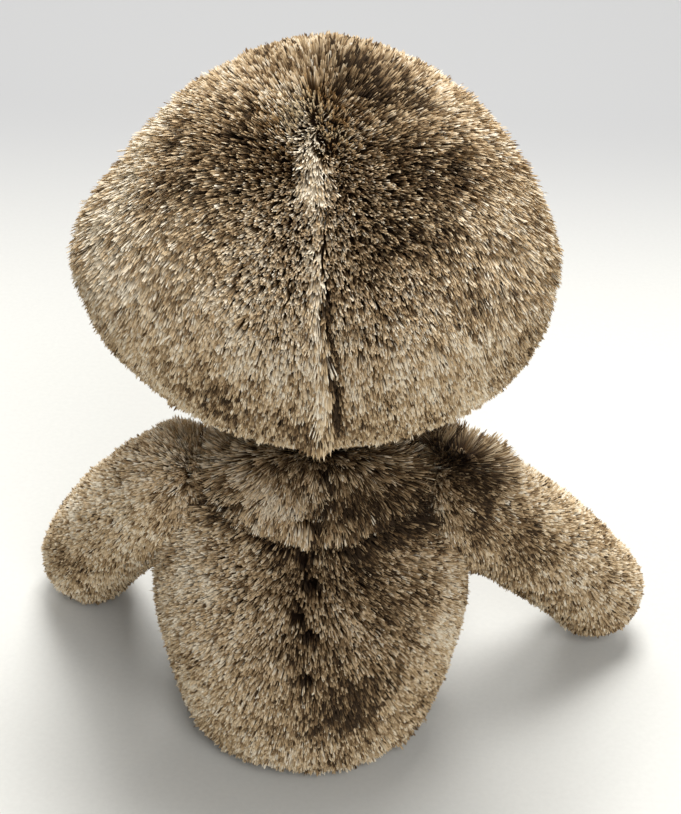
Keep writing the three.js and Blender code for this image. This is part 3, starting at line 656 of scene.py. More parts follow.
side_angle = seam_angles(torso_point, side_seam_y)
back_seam = math.pi / 2
above_seat = seat_share * (seat_seam + seam_gap)
under_neck = 0.995
for name, low, high, first, last in (
    ("torso_left_back", above_seat, under_neck, side_angle[1], back_seam),
    ("torso_right_back", above_seat, under_neck, back_seam, side_angle[-1]),
    ("belly", above_seat, under_neck, side_angle[-1], lambda t: side_angle[1](t) + whole_turn),
    ("seat", 0.002, seat_share * (seat_seam - seam_gap), 0, whole_turn - 0.01),
):
    cover(cloth_panel(name + "_cloth", torso_point, low, high, first, last),
                    "torso", "brown_plush", name + "_panel")

# Head: the big rounded hood of the toy, sewn from two back panels and a hood panel round the
# face. The pile runs from a whorl at the crown down over the cheeks and parts at the back seam.
head_centre = np.array([0, -5, 107.3])
head_half_width = 45
head_back = 39
head_front = 35
head_top = 40.5
head_bottom = 38.5
head_top_fullness = 1.5
head_bottom_fullness = 1.9
hood_seam_y = -9
face_centre_z = 104.3
face_half_width = 32
face_half_height = 27
crown = np.array([3.2, 4.3, 145.2])
head_parting_levels = [80, 89, 102, 117, 131, 140, 146]
head_parting_sides = [-2.7, -2.7, -2.0, -0.4, -0.1, 1.5, 3.2]
head_tassel = (-0.8, 27.5, 85.5)   # a few longer strands at the foot of the parting
head_patches = [
    ((-4, -1, 146), 14, -0.16),
    ((11, 6, 141), 5, -0.16),
    ((-8, 14, 138), 5, -0.26),
    ((-16, 21, 127), 6, -0.18),
    ((-31, 14, 117), 7, -0.08),
    ((-3, 31, 117), 5, -0.2),
    ((20, 27, 87), 9, -0.2),
    ((4, 29, 85), 8, -0.12),
    ((-20, 26, 86), 8, -0.14),
    ((12, 33, 107), 7, 0.12),
    ((20, 10, 134), 9, -0.4),
    ((17, 10, 136), 4, -0.14),
    ((27, 18, 124), 8, -0.02),
    ((-3, 1, 146), 6, -0.34),      # dark right side of the crown
    ((-10, 5, 143), 7, -0.28),
    ((-3, 13, 139), 4, 0.16),
    ((-10, 19, 131), 6, -0.26),
    ((-17, 13, 134), 7, -0.30),
    ((-25, 8, 132), 7, -0.24),
    ((-17, 25, 122), 7, -0.22),
    ((4, 9, 141), 4, 0.26),
    ((11, 22, 130), 6, 0.16),
    ((40, 5, 119), 9, 0.32),       # paler left cheek and upper left edge, partly the fur's own tone and partly painted light from the left
    ((39, 12, 110), 8, 0.36),
    ((33, -5, 130), 8, 0.36),
    ((26, -8, 135), 6, 0.3),
    ((5, 7, 142), 5, 0.22),
    ((-16, 27, 117), 7, -0.16),
    ((15, 32, 106), 7, 0.10),
    ((25, 28, 96), 5, -0.18),
    ((-3, 34, 106), 5, -0.14),
    ((18, 27, 116), 14, 0.12),
    ((-20, 26, 116), 14, 0.05),
    ((0, 32, 112), 8, 0.05),
    ((5, 34, 106), 12, 0.10),
    ((10, 30, 92), 12, 0.10),
    ((-2, 14, 138), 6, 0.2),
    ((5, 8, 142), 5, 0.15),
    ((-16, 25, 121), 5, 0.26),
    ((-16, 16, 132), 5, 0.12),
    ((-30, 7, 128), 6, 0.16),
    ((16, 28, 97), 7, -0.3),
    ((3, 29, 91), 6, -0.22),
    ((-22, 24, 92), 6, -0.18),
]

# places where the stuffing pushes the head out, or lets it sink, in millimetres
head_unevenness = [
    ((44, 0, 110), 13, 1.7),
    ((-44, 0, 108), 15, -1.2),
    ((34, 1, 126), 12, -0.9),
    ((-20, -2, 141), 10, 1.1),
    ((28, 15, 84), 10, -1.6),
    ((14, 25, 78), 10, -2.0),
    ((-8, 25, 78), 9, -2.6),
    ((-22, 21, 80), 10, -1.8),
]


def head_point(t, angle, depth):
    """A place on the head at a depth: t goes from the chin, 0, to the crown, 1."""
    t, angle = np.broadcast_arrays(t, angle)
    latitude = math.pi * (t - 0.5)
    upper = latitude > 0
    power = 2 / np.where(upper, head_top_fullness, head_bottom_fullness)
    around = np.maximum(np.cos(latitude), 0) ** power
    up = np.sign(latitude) * np.abs(np.sin(latitude)) ** power
    height = np.where(upper, head_top, head_bottom)
    reach = np.where(np.sin(angle) > 0, head_back, head_front)
    point = head_centre + np.stack([
        (head_half_width - depth) * around * np.cos(angle),
        (reach - depth) * around * np.sin(angle),
        (height - depth) * up,
    ], axis=-1)
    push = sum(amount * bell(distance(point, place), radius)
               for place, radius, amount in head_unevenness)
    return point + unit(point - head_centre) * push[..., None]


def in_face(points, grow=0.0):
    """Whether points lie inside the face's oval, made larger all round by some millimetres."""
    across = points[..., 0] / (face_half_width + grow)
    up = (points[..., 2] - face_centre_z) / (face_half_height + grow)
    return (points[..., 1] < head_centre[1]) & (across ** 2 + up ** 2 < 1)


t, angle = tuft_places(head_point, pile_spacing, 51)
tips = head_point(t, angle, 0)
keep = ~in_face(tips)
t, angle, tips = t[keep], angle[keep], tips[keep]
root = head_point(t, angle, pile_root_depth)
outward = outward_at(head_point, t, angle, pile_root_depth)
from_parting = tips[:, 0] - np.interp(tips[:, 2], head_parting_levels, head_parting_sides)
behind = tips[:, 1] > hood_seam_y

# the pile runs out from the crown, hangs lower down, and is tangled on the crown itself
radial = unit(tips - crown)
hang = step(-tips[:, 2], -146, -124)[:, None]
flow = radial * (1 - 0.9 * hang) + np.array([0, 0, -1]) * hang
flow[:, 0] += 0.22 * mottle(tips, 7, 61)
flow[:, 2] += 0.22 * mottle(tips, 7, 62)
by_parting = behind * bell(from_parting, 3)
flow[:, 0] *= 1 - 0.7 * by_parting
flow[:, 0] += np.sign(from_parting) * by_parting * 0.2
at_crown = bell(distance(tips, crown), 13)
for axis in (0, 1, 2):
    flow[:, axis] += 0.7 * at_crown * mottle(tips, 3, 66 + axis)

# at the seam it has a pale fringe near the crown, a long lock under it and a gap beside that
fringe = behind * bell(from_parting - 1.2, 2) * bell(tips[:, 2] - 136, 6)
flow = turned_to(flow, np.array([0, 0.3, -1]), fringe)
lock = behind * bell(from_parting - 1.0, 0.9) * step(-tips[:, 2], -128, -116)
lock *= step(tips[:, 2], 84, 88)
flow = turned_to(flow, np.array([0.05, 0, -1]), lock)
gap = behind * bell(from_parting + 1.2, 1.1) * bell(tips[:, 2] - 98, 12)
tassel = bell(distance(tips, head_tassel), 2.8)

# on the cheeks it is longer and lies flatter, and it hides the seam at the neck
flank = step(np.abs(tips[:, 0]), 10, 32) * step(tips[:, 2], 92, 120)
below = bell(distance(tips, neck_centre) - 9, 5)
length = natural_length(tips, 63) + 3.2 * fringe + 4.2 * tassel
length += 2.2 * lock - 1.4 * gap
length -= 1.2 * behind * step(-tips[:, 2], -84, -78)
length += 0.9 * behind * bell(tips[:, 2] - 84, 4) * mottle(tips, 1.6, 69)
lean = natural_lean(tips, 0.4, 64) + 0.6 * fringe - 0.2 * at_crown + 0.8 * tassel
lean += 0.6 * lock
lean -= 0.25 * step(-tips[:, 2], -110, -90)
lean += 0.5 * flank + 0.25 * step(np.abs(tips[:, 0]), 8, 26) * step(-tips[:, 2], -136, -120)
length += 1.2 * flank + 2.2 * below
flow[:, 1] += 0.7 * flank
tone = with_patches(tips, natural_tone(tips, 65), head_patches)
tone += 0.6 * fringe + 0.4 * tassel + 0.4 * lock - 0.6 * gap
dark_line = behind * bell(from_parting + 0.4, 1.0) * bell(tips[:, 2] - 112, 13)
tone -= 0.6 * dark_line
tufts = (root, outward, flow, tone, length, lean)
for number, (name, part) in enumerate({
    "head_left": behind & (from_parting > 0),
    "head_right": behind & (from_parting <= 0),
    "head_hood": ~behind,
}.items()):
    cover(grow_pile(name + "_pile", brown_pile, tufts, part, 70 + number),
          "head", "brown_plush", name + "_panel")

hood_angle = seam_angles(head_point, hood_seam_y)
face_middle = -math.pi / 2
hood_start = {1: hood_angle[1], -1: lambda t: hood_angle[-1](t) - whole_turn}


def face_edge(t, side):
    """The angle at which a ring of the head meets the face panel's edge."""
    samples = 161
    angles = np.squeeze(np.linspace(face_middle, hood_start[side](t), samples)).T
    inside = in_face(head_point(t, angles, pile_root_depth)).sum(1, keepdims=True)
    return np.take_along_axis(angles, inside.clip(0, samples - 1), 1)


for name, first, last in (
    ("head_left", hood_angle[1], back_seam),
    ("head_right", back_seam, hood_angle[-1]),
    ("head_hood_left", lambda t: face_edge(t, 1), hood_start[1]),
    ("head_hood_right", hood_start[-1], lambda t: face_edge(t, -1)),
):
    node = "head_hood_panel" if "hood" in name else name + "_panel"
    cover(cloth_panel(name + "_cloth", head_point, 0.01, 0.99, first, last),
                    "head", "brown_plush", node)

# Face: a pale oval of short pile on its own cloth, let into the hood, with a dark patch of
# the same short pile round each eye. The pile runs outwards from the nose.
face_cloth_depth = 2.9
face_cloth_thickness = 0.7
face_edge_tuck = 1.2
face_pile_spacing = 0.72
face_pile_length = 2.1
face_strand_width = 0.3
face_seam_width = 0.4          # left bare between this pile and the hood's
eye_longitude = 23             # these angles are in degrees, seen from the head's middle
eye_latitude = 2
eye_patch_half_width = 7
eye_patch_half_height = 12.5
eye_patch_drop = 4
eye_patch_tilt = 38
eye_patch_reach = 9            # backwards from the eye, so that it stays on the face
eye_seat_depth = 1.3           # how deep the eyes and the nose are pressed into the pile
eye_clearing = 3.4             # no pile grows on the face nearer than this to an eye
nose_latitude = -10
nose_seat_depth = 0.7
nose_clearing = 3.2

face_tips = [
    (0.0, color(150, 125, 95)),
    (0.4, color(205, 184, 150)),
    (0.75, color(228, 212, 182)),
    (1.0, color(241, 229, 205)),
]
patch_tips = [
    (0.0, color(28, 20, 15)),
    (0.5, color(62, 45, 34)),
    (1.0, color(96, 74, 58)),
]
face_pile = pile_material("face_pile", face_tips, (0.7, 0.66, 0.58))
patch_pile = pile_material("patch_pile", patch_tips, (0.4, 0.36, 0.33))
face_cloth = cloth_material("face_cloth", color(190, 170, 138))


def face_site(longitude, latitude, depth):
    """A place on the face with its directions: across, up and outward."""
    t = np.array([0.5 + latitude / 180])
    angle = np.radians([longitude - 90.0])
    here = head_point(t, angle, depth)[0]
    outward = outward_at(head_point, t, angle, depth)[0]
    up = unit(np.array([0, 0, 1.0]) - outward * outward[2])
    return here, np.cross(up, outward), up, outward


eye_sites = {sign: face_site(sign * eye_longitude, eye_latitude, eye_seat_depth)
             for sign in (1, -1)}
nose_site = face_site(0, nose_latitude, nose_seat_depth)
nose_place = nose_site[0]


def in_patch(points, sign):
    """Whether points lie on the tilted oval of dark pile round one eye."""
    here, across, up, outward = eye_sites[sign]
    tilt = sign * math.radians(eye_patch_tilt)
    offset = points - here
    x, y = offset @ across, offset @ up
    turned_x = x * math.cos(tilt) + y * math.sin(tilt)
    turned_y = -x * math.sin(tilt) + y * math.cos(tilt) + eye_patch_drop
    return (offset @ outward > -eye_patch_reach) & (
        (turned_x / eye_patch_half_width) ** 2 + (turned_y / eye_patch_half_height) ** 2 < 1)


t, angle = tuft_places(head_point, face_pile_spacing, 81)
tips = head_point(t, angle, 1)
keep = in_face(tips, -face_seam_width)
t, angle, tips = t[keep], angle[keep], tips[keep]
root = head_point(t, angle, face_cloth_depth)
outward = outward_at(head_point, t, angle, 1)
clear = ~inside_ball(tips, nose_place, nose_clearing)
for sign in (1, -1):
    eye_place = face_site(sign * eye_longitude, eye_latitude, 0)[0]
    clear &= ~inside_ball(tips, eye_place, eye_clearing)
radial = unit(tips - nose_place)
flow = radial + np.array([0, 0, -0.35])
tone = 0.72 + 0.1 * mottle(tips, 7, 82) + np.random.default_rng(83).normal(0, 0.13, len(tips))
tone += 0.15 * bell(distance(tips, nose_place), 9)
length = face_pile_length + 0.2 * mottle(tips, 3, 84)
lean = 0.62 + 0.12 * mottle(tips, 4, 85)
patches = {sign: in_patch(tips, sign) for sign in (1, -1)}
plain = clear & ~patches[1] & ~patches[-1]
tufts = (root, outward, flow, tone, length, lean)
patch_tufts = (root, outward, flow, tone - 0.25, length - 0.4, lean)
cover(grow_pile("face_pile", face_pile, tufts, plain, 86, width=face_strand_width),
      "head", "face_plush", "face_panel")
for sign, name in ((1, "left"), (-1, "right")):
    cover(grow_pile(name + "_eye_patch_pile", patch_pile, patch_tufts, clear & patches[sign],
                    87 + sign, width=face_strand_width),
          "head", "patch_plush", name + "_eye_patch")


def on_front(x, z, depth):
    """The point of the head's front at a distance across and a height, at a depth."""
    up = z - head_centre[2]
    fullness = np.where(up > 0, head_top_fullness, head_bottom_fullness)
    height = np.where(up > 0, head_top, head_bottom) - depth
    around = (1 - np.clip(np.abs(up / height), 0, 1) ** fullness) ** (1 / fullness)
    forward = np.sqrt(np.maximum(around ** 2 - (x / (head_half_width - depth)) ** 2, 0))
    return np.stack([x, head_centre[1] - (head_front - depth) * forward, z], axis=-1)


radius = np.linspace(0.001, 1, 26)[:, None]
angle = -np.linspace(0, whole_turn - 0.002, 72)[None, :]
x = face_half_width * radius * np.cos(angle)
z = face_centre_z + face_half_height * radius * np.sin(angle)
tucked = face_cloth_depth + face_edge_tuck * np.exp(-(1 - radius) * 25) + 0 * x
cover(shell("face_cloth", on_front(x, z, tucked),
                      on_front(x, z, tucked + face_cloth_thickness), face_cloth),
                "head", "face_plush", "face_panel")

# Eyes, nose and mouth: domed plastic buttons, whose shanks go through the cloth onto washers,
# and a mouth worked in thick brown thread. The eyes are near black with a brown ring.
eye_radius = 3.8
eye_dome = 3
eye_shank_radius = 1.2
eye_shank_length = 9
eye_black_radius = 2.1
eye_brown_radius = 3.1
nose_half_width = 5
nose_half_height = 3.4
nose_dome = 3.2
nose_shank_radius = 1.4
nose_shank_length = 8
mouth_latitude = -19
mouth_half_span = 15
mouth_rise = 5
mouth_depth = 1
mouth_stitch_count = 10
mouth_thread_radius = 0.55
mouth_stitch_lift = 0.7
stitch_slant = 0.25            # to each side of its seam


def lathe(name, profile, site, material, squeeze=(1, 1)):
    """A closed turned piece: a profile of (radius, height) points from the axis to the axis."""
    segments = 40
    here, across, up, outward = site
    angle = np.linspace(0, whole_turn, segments, endpoint=False)
    profile = np.asarray(profile, float)
    rings = profile[1:-1]
    local = np.stack([
        rings[:, :1] * np.cos(angle) * squeeze[0],
        rings[:, :1] * np.sin(angle) * squeeze[1],
        np.repeat(rings[:, 1:], segments, axis=1)], -1).reshape(-1, 3)
    local = np.concatenate([local, [[0, 0, profile[0, 1]], [0, 0, profile[-1, 1]]]])
    points = here + local @ np.array([across, up, outward])
    index = np.arange(len(rings) * segments).reshape(-1, segments)
    after = np.roll(index, -1, axis=1)
    wall = np.stack([index[:-1], after[:-1], after[1:], index[1:]], -1).reshape(-1, 4)
    first, last = len(local) - 2, len(local) - 1
    start = np.stack([np.full(segments, first), after[0], index[0]], -1)
    end = np.stack([np.full(segments, last), index[-1], after[-1]], -1)
    return mesh_piece(name, points, [wall, start, end], material)


def dome_profile(radius, dome, shank_radius, shank_length):
    """A button's outline: the shank, the flat back, the rounded rim and the dome."""
    angle = np.radians(np.linspace(0, 90, 15))
    rim = [(0, -shank_length), (shank_radius, -shank_length), (shank_radius, -0.9),
           (radius * 0.86, -0.8), (radius * 0.97, -0.45)]
    return rim + [(radius * math.cos(a), dome * math.sin(a)) for a in angle]


eye_plastic, wires, shader = new_material("eye_plastic", 0.05, shine=0.3)
place = wires.node("ShaderNodeTexCoord", output=3)
brown_ring = None
for here, _, _, outward in eye_sites.values():
    middle = (here + outward * eye_dome) * mm
    away = place.node("ShaderNodeVectorMath", {"operation": "DISTANCE"},
                      {0: place, 1: tuple(middle)}, output=1)
    ring = away.node("ShaderNodeMapRange", {"interpolation_type": "SMOOTHSTEP"},
                     {"Value": away, "From Min": eye_black_radius * mm,
                      "From Max": eye_brown_radius * mm})
    brown_ring = ring if brown_ring is None else brown_ring.math("MINIMUM", brown_ring, ring)
brown_ring.mix(color(9, 8, 8), color(52, 32, 20)).feed(shader.inputs["Base Color"])

nose_plastic, wires, shader = new_material("nose_plastic", 0.3, coat=0.4)
place = wires.node("ShaderNodeTexCoord", output=3)
grain = place.node("ShaderNodeTexVoronoi", None, {"Vector": place, "Scale": 2600.0})
cloud = place.node("ShaderNodeTexNoise", None, {"Vector": place, "Scale": 500.0})
cloud.mix(color(30, 21, 17), color(52, 37, 30)).feed(shader.inputs["Base Color"])
place.node("ShaderNodeBump", None, {"Height": grain, "Strength": 0.35, "Distance": 0.0001}).feed(
    shader.inputs["Normal"])

eye_profile = dome_profile(eye_radius, eye_dome, eye_shank_radius, eye_shank_length)
nose_profile = dome_profile(nose_half_height, nose_dome, nose_shank_radius, nose_shank_length)
for sign, name in ((1, "left_eye"), (-1, "right_eye")):
    cover(lathe(name + "_button", eye_profile, eye_sites[sign], eye_plastic),
          "head", "eye_plastic", name)
cover(lathe("nose_button", nose_profile, nose_site, nose_plastic,
            squeeze=(nose_half_width / nose_half_height, 1)),
      "head", "nose_plastic", "nose")

thread_material, wires, shader = new_material("brown_thread", 0.9, shine=0.1)
place = wires.node("ShaderNodeTexCoord", output=3)
twist = place.node("ShaderNodeTexWave", {"wave_type": "BANDS", "bands_direction": "DIAGONAL"},
                   {"Vector": place, "Scale": 900.0, "Distortion": 0.5}, output=1)
twist.mix(color(34, 24, 17), color(66, 50, 36)).feed(shader.inputs["Base Color"])
place.node("ShaderNodeBump", None, {"Height": twist, "Strength": 0.6, "Distance": 0.0002}).feed(
    shader.inputs["Normal"])


def stitches(name, ends, radius):
    """Thread stitches, each a short bowed strand with round ends, between two places."""
    points, quads, tris = [], [], []
    sides = 8
    rings = 9
    for start, end, lift in ends:
        start, end, lift = (np.asarray(p, float) for p in (start, end, lift))
        along = unit(end - start)
        side = unit(np.cross(along, lift))
        upward = np.cross(side, along)
        first = sum(len(p) for p in points)
        share = np.linspace(0, 1, rings)
        bow = np.sin(share * math.pi)[:, None] * lift
        centre = start + (end - start) * share[:, None] + bow
        thick = radius * np.sqrt(np.clip(1 - np.abs(2 * share - 1) ** 6, 0.12, 1))
        angle = np.linspace(0, whole_turn, sides, endpoint=False)
        ring = (side[None] * np.cos(angle)[:, None] + upward[None] * np.sin(angle)[:, None])
        points.append((centre[:, None] + ring[None] * thick[:, None, None]).reshape(-1, 3))
        points.append(np.stack([start - along * radius * 0.3, end + along * radius * 0.3]))
        index = first + np.arange(rings * sides).reshape(rings, sides)
        after = np.roll(index, -1, axis=1)
        quads.append(np.stack([index[:-1], after[:-1], after[1:], index[1:]], -1).reshape(-1, 4))
        tail = first + rings * sides
        tris.append(np.stack([np.full(sides, tail), after[0], index[0]], -1))
        tris.append(np.stack([np.full(sides, tail + 1), index[-1], after[-1]], -1))
    return mesh_piece(name, np.concatenate(points),
                      [np.concatenate(quads), np.concatenate(tris)], thread_material)


mouth = []
for number in range(mouth_stitch_count):
    places = []
    for shift in (-0.12, 1.12):
        x = 2 * (number + shift) / mouth_stitch_count - 1
        latitude = mouth_latitude + mouth_rise * x * x
        places.append(face_site(x * mouth_half_span, latitude, mouth_depth))
    (start, _, start_up, outward), (end, _, end_up, _) = places
    mouth.append((start + start_up * stitch_slant, end - end_up * stitch_slant,
                  outward * mouth_stitch_lift))
cover(stitches("mouth_stitches", mouth, mouth_thread_radius), "head", "thread", "mouth_stitch")

# Seams: the stuffed parts are closed and joined by hand in brown thread, with a ring of
# stitches at the neck and at each limb and a row of them down the back of torso and head. All
# of them lie deep in the pile.
neck_ring_radius = 7.5
shoulder_ring_radius = 6.5
hip_ring_radius = 6
ring_thread_radius = 0.3
ring_stitch_lift = 0.35
row_thread_radius = 0.28
row_stitch_lift = 0.3


def ring_stitches(name, centre, normal, ring_radius, count):
    """Stitches round a limb or the neck, each crossing a little from one part to the other."""
    normal = np.array(normal, float)
    first = unit(np.cross(normal, [0.3, 0.4, 0.9]))
    second = np.cross(normal, first)
    ends = []
    for number in range(count):
        a, b = (whole_turn * (number + shift) / count for shift in (-0.1, 1.1))
        start, end = (
            np.array(centre) + ring_radius * (first * math.cos(c) + second * math.sin(c))
            for c in (a, b))
        middle = unit((start + end) / 2 - centre)
        ends.append((start + normal * stitch_slant, end - normal * stitch_slant,
                     middle * ring_stitch_lift))
    return stitches(name, ends, ring_thread_radius)


def seam_stitches(name, surface, levels, count):
    """Stitches down the middle of the back, from one height to another."""
    t = np.linspace(0.02, 0.98, 400)
    line = surface(t, np.full(len(t), back_seam), pile_root_depth - 0.2)
    order = np.argsort(line[:, 2])
    ends = []
    for number in range(count):
        heights = [levels[0] + (levels[1] - levels[0]) * (number + shift) / count
                   for shift in (0.06, 0.94)]
        start, end = (np.array([
            stitch_slant * side, np.interp(z, line[order, 2], line[order, 1]), z])
            for z, side in zip(heights, (-1, 1)))
        ends.append((start, end, np.array([0, row_stitch_lift, 0])))
    return stitches(name, ends, row_thread_radius)


cover(ring_stitches("neck_stitches", neck_centre - [0, 0, 1.1], (0, 0, 1),
                    neck_ring_radius, 26),
      "neck_seam", "thread", "neck_seam_thread")
for sign, name in ((1, "left"), (-1, "right")):
    shoulder = np.array(shoulder_centres[name]) - [sign * 3, 0, 0]
    hip = np.array(hip_centres[name]) + [0, 3, 0]
    cover(ring_stitches(name + "_shoulder_stitches", shoulder, (1, 0, 0),
                        shoulder_ring_radius, 26),
          name + "_shoulder_seam", "thread", name + "_shoulder_seam_thread")
    cover(ring_stitches(name + "_hip_stitches", hip, (0, 1, 0), hip_ring_radius, 22),
          "torso", "thread", name + "_hip_seam_thread")
cover(seam_stitches("torso_back_stitches", torso_point, (8, 60), 24),
      "torso", "thread", "torso_back_seam_thread")
cover(seam_stitches("head_back_stitches", head_point, (77, 144), 30),
      "head", "thread", "head_back_seam_thread")

# Arms and legs: stuffed tubes of two panels each, sewn to the torso. The pile runs down the
# arms, and on the legs it lies forwards on top and back underneath. At the right shoulder it
# stands up, dark and long, round the seam.
arm_length = 60.5
arm_radii = [12, 11.6, 10.7]
arm_bow = 2
leg_length = 31
leg_radii = [10.5, 11, 12.5]
leg_splay = 5
limb_sink = 5                  # no pile grows where a limb lies deeper in the torso than this


class Limb:
    """A limb's bowed axis, from its root to its tip, and the places on its surface."""

    def __init__(self, centre, aim, facing, sign, length, bow, radii):
        self.root = np.array(centre, float)
        direction = unit(np.array(aim, float))
        tip = self.root + direction * length
        facing = unit(np.array(facing, float) - direction * np.dot(facing, direction))
        sideways = np.cross(facing, direction)
        self.sideways = sideways * np.sign(sideways[0] * sign)
        self.facing = facing
        self.points = [self.root, (self.root + tip) / 2 + self.sideways * 2 * bow, tip]
        self.radii = radii
        total = length + math.pi / 2 * (radii[0] + radii[2])
        self.first = math.pi / 2 * radii[0] / total
        self.last = 1 - math.pi / 2 * radii[2] / total

    def axis(self, s):
        """The middle of the limb at a share of its length."""
        a, b, c = self.points
        s = s[..., None]
        return a * (1 - s) ** 2 + b * 2 * s * (1 - s) + c * s ** 2

    def tangent(self, s):
        """The direction of the limb at a share of its length."""
        a, b, c = self.points
        s = s[..., None]
        return unit((b - a) * (1 - s) + (c - b) * s)

    def point(self, t, angle, depth):
        """A place on the limb at a depth: t goes from its round root, 0, to its tip, 1."""
        t, angle = np.broadcast_arrays(t, angle)
        s = np.clip((t - self.first) / (self.last - self.first), 0, 1)
        round_root = np.clip(1 - t / self.first, 0, 1) * math.pi / 2
        round_tip = np.clip((t - self.last) / (1 - self.last), 0, 1) * math.pi / 2
        radius = smooth_value(self.radii, 2 * s) - depth
        tangent = self.tangent(s)
        centre = self.axis(s) + tangent * (
            radius * (np.sin(round_tip) - np.sin(round_root)))[..., None]
        radius = radius * np.cos(round_tip) * np.cos(round_root)
        ring_up = unit(self.sideways - tangent * dot(tangent, self.sideways))
        ring_side = np.cross(tangent, ring_up)
        return centre + radius[..., None] * (
            ring_up * np.cos(angle)[..., None] + ring_side * np.sin(angle)[..., None])


def arm(side, sign, splay, forward):
    aim = (sign * math.tan(math.radians(splay)), -math.tan(math.radians(forward)), -1)
    return Limb(shoulder_centres[side], aim, (0, 1, 0), sign, arm_length, arm_bow, arm_radii)


def leg(side, sign):
    aim = (sign * math.tan(math.radians(leg_splay)), -1, 0)
    return Limb(hip_centres[side], aim, (0, 0, 1), sign, leg_length, 0, leg_radii)


limbs = {
    "left_arm": arm("left", 1, splay=26.9, forward=38.3),
    "right_arm": arm("right", -1, splay=39.7, forward=32.2),
    "left_leg": leg("left", 1),
    "right_leg": leg("right", -1),
}
limb_panels = {"arm": ("back_panel", "front_panel"), "leg": ("top_panel", "bottom_panel")}
right_shoulder_core = np.array([-30.5, -5.5, 65.8])
limb_patches = {
    "left_arm": [((33, 3, 56), 7, 0.12), ((24, -3, 66), 8, 0.24), ((46, -12, 44), 12, 0.24),
                 ((52, -20, 22), 9, -0.26)],
    "right_arm": [((-60, -26, 18), 25, -0.06), ((-27.8, -4, 67), 4.5, -0.7),
                  ((-32, 2, 61), 6, -0.30), ((-32, 8, 54), 7, -0.20),
                  ((-42, -8, 60), 6, 0.2), ((-42, 2, 46), 9, -0.3),
                  ((-29, 8, 58), 6, -0.24), ((-45, 0, 38), 8, -0.2)],
}


def sunk_in_torso(points):
    """How far points lie inside the torso, by its ring at their height."""
    place = np.interp(points[:, 2], torso_levels, np.arange(len(torso_levels)))
    y = points[:, 1] + smooth_value(torso_leans, place)
    depths = np.where(y > 0, smooth_value(torso_backs, place), smooth_value(torso_fronts, place))
    width = smooth_value(torso_half_widths, place)
    reach = np.hypot(points[:, 0] / width, y / depths)
    return (1 - reach) * width * (points[:, 2] < torso_levels[-1])


for number, (name, limb) in enumerate(limbs.items()):
    seed = 100 + 20 * number
    kind = name.split("_")[1]
    t, angle = tuft_places(limb.point, pile_spacing, seed)
    tips = limb.point(t, angle, 0)
    root = limb.point(t, angle, pile_root_depth)
    outward = outward_at(limb.point, t, angle, pile_root_depth)
    keep = (sunk_in_torso(root) < limb_sink) & (t > 0.03)
    t, angle, tips, root, outward = (a[keep] for a in (t, angle, tips, root, outward))

    # the pile runs along the limb, hangs a little and is longer where the limb meets the torso
    flow = limb.tangent(np.clip((t - limb.first) / (limb.last - limb.first), 0, 1))
    flow = flow + np.array([0, 0, -0.3])
    flow = flow + 0.25 * np.stack([mottle(tips, 6, seed + shift) for shift in (1, 2, 3)], -1)
    length = natural_length(tips, seed + 4) + bell(sunk_in_torso(root), 2.5)
    lean = natural_lean(tips, 0.24, seed + 5)
    if kind == "leg":
        above = np.clip((tips[:, 2] - limb.root[2]) / 8, -1, 1)
        flow = 0.25 * flow + np.stack([0 * above, -1.2 * above, 0 * above - 0.8], -1)
    if kind == "arm":
        shoulder = 1 - step(t, 0.06, 0.34)
        flow = turned_to(unit(flow), np.array([np.sign(limb.root[0]), 0.35, -0.9]), shoulder)
        lean = lean + 0.4 * shoulder
    if name == "right_arm":
        away = distance(tips, right_shoulder_core)
        near = bell(away, 8)
        spread = unit(tips - right_shoulder_core) + np.array([-0.3, 0, 0.25])
        flow = turned_to(flow, 1.5 * spread, near)
        length = np.where(away < 2, 2.0, length + 3.0 * bell(away - 6, 3.2))
        lean = lean * (1 - near) + 0.95 * near
    tone = with_patches(tips, natural_tone(tips, seed + 6), limb_patches.get(name, []))
    tufts = (root, outward, flow, tone, length, lean)

    # the first panel is the one on the facing side: the back of an arm, the top of a leg
    first_side = outward_at(limb.point, np.array([0.5]), np.array([math.pi / 2]), 0)
    facing_first = np.dot(first_side[0], limb.facing) > 0
    for half, panel in enumerate(limb_panels[kind]):
        upper = (half == 0) == facing_first
        part = (np.sin(angle) > 0) == upper
        piece_name = name + "_" + panel.split("_")[0]
        node = name + "_" + panel
        cover(grow_pile(piece_name + "_pile", brown_pile, tufts, part, seed + 7 + half,
                        floor=pile_floor),
              name, "brown_plush", node)
        start = 0 if upper else math.pi
        cover(cloth_panel(piece_name + "_cloth", limb.point, 0.02, 0.99,
                                    start, start + math.pi),
                        name, "brown_plush", node)

# Inside: the loose polyester fibre that fills every part, the cloth pouch of pellets that
# weighs down the seat, and the moulded washers that hold eyes and nose. The frame's own solids
# have the right shapes for these, and only get their materials here.
fibre, wires, shader = new_material("polyester_fibre", 1.0)
place = wires.node("ShaderNodeTexCoord", output=3)
wisps = place.node("ShaderNodeTexNoise", {"noise_dimensions": "3D"},
                   {"Vector": place, "Scale": 260.0, "Detail": 6.0, "Distortion": 2.0})
wisps.mix(color(214, 212, 206), color(250, 249, 246)).feed(shader.inputs["Base Color"])
place.node("ShaderNodeBump", None, {"Height": wisps, "Strength": 0.8, "Distance": 0.001}).feed(
    shader.inputs["Normal"])
pouch_cloth = cloth_material("pouch_cloth", color(214, 208, 196))
washer_plastic, wires, shader = new_material("washer_plastic", 0.45)
place = wires.node("ShaderNodeTexCoord", output=3)
speck = place.node("ShaderNodeTexNoise", None, {"Vector": place, "Scale": 700.0})
speck.mix(color(226, 226, 222), color(240, 240, 237)).feed(shader.inputs["Base Color"])
inner_materials = {"filling": fibre, "pouch": pouch_cloth, "washer": washer_plastic}
for name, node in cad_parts.items():
    for kind, material in inner_materials.items():
        if kind in name:
            node.data.materials.clear()
            node.data.materials.append(material)

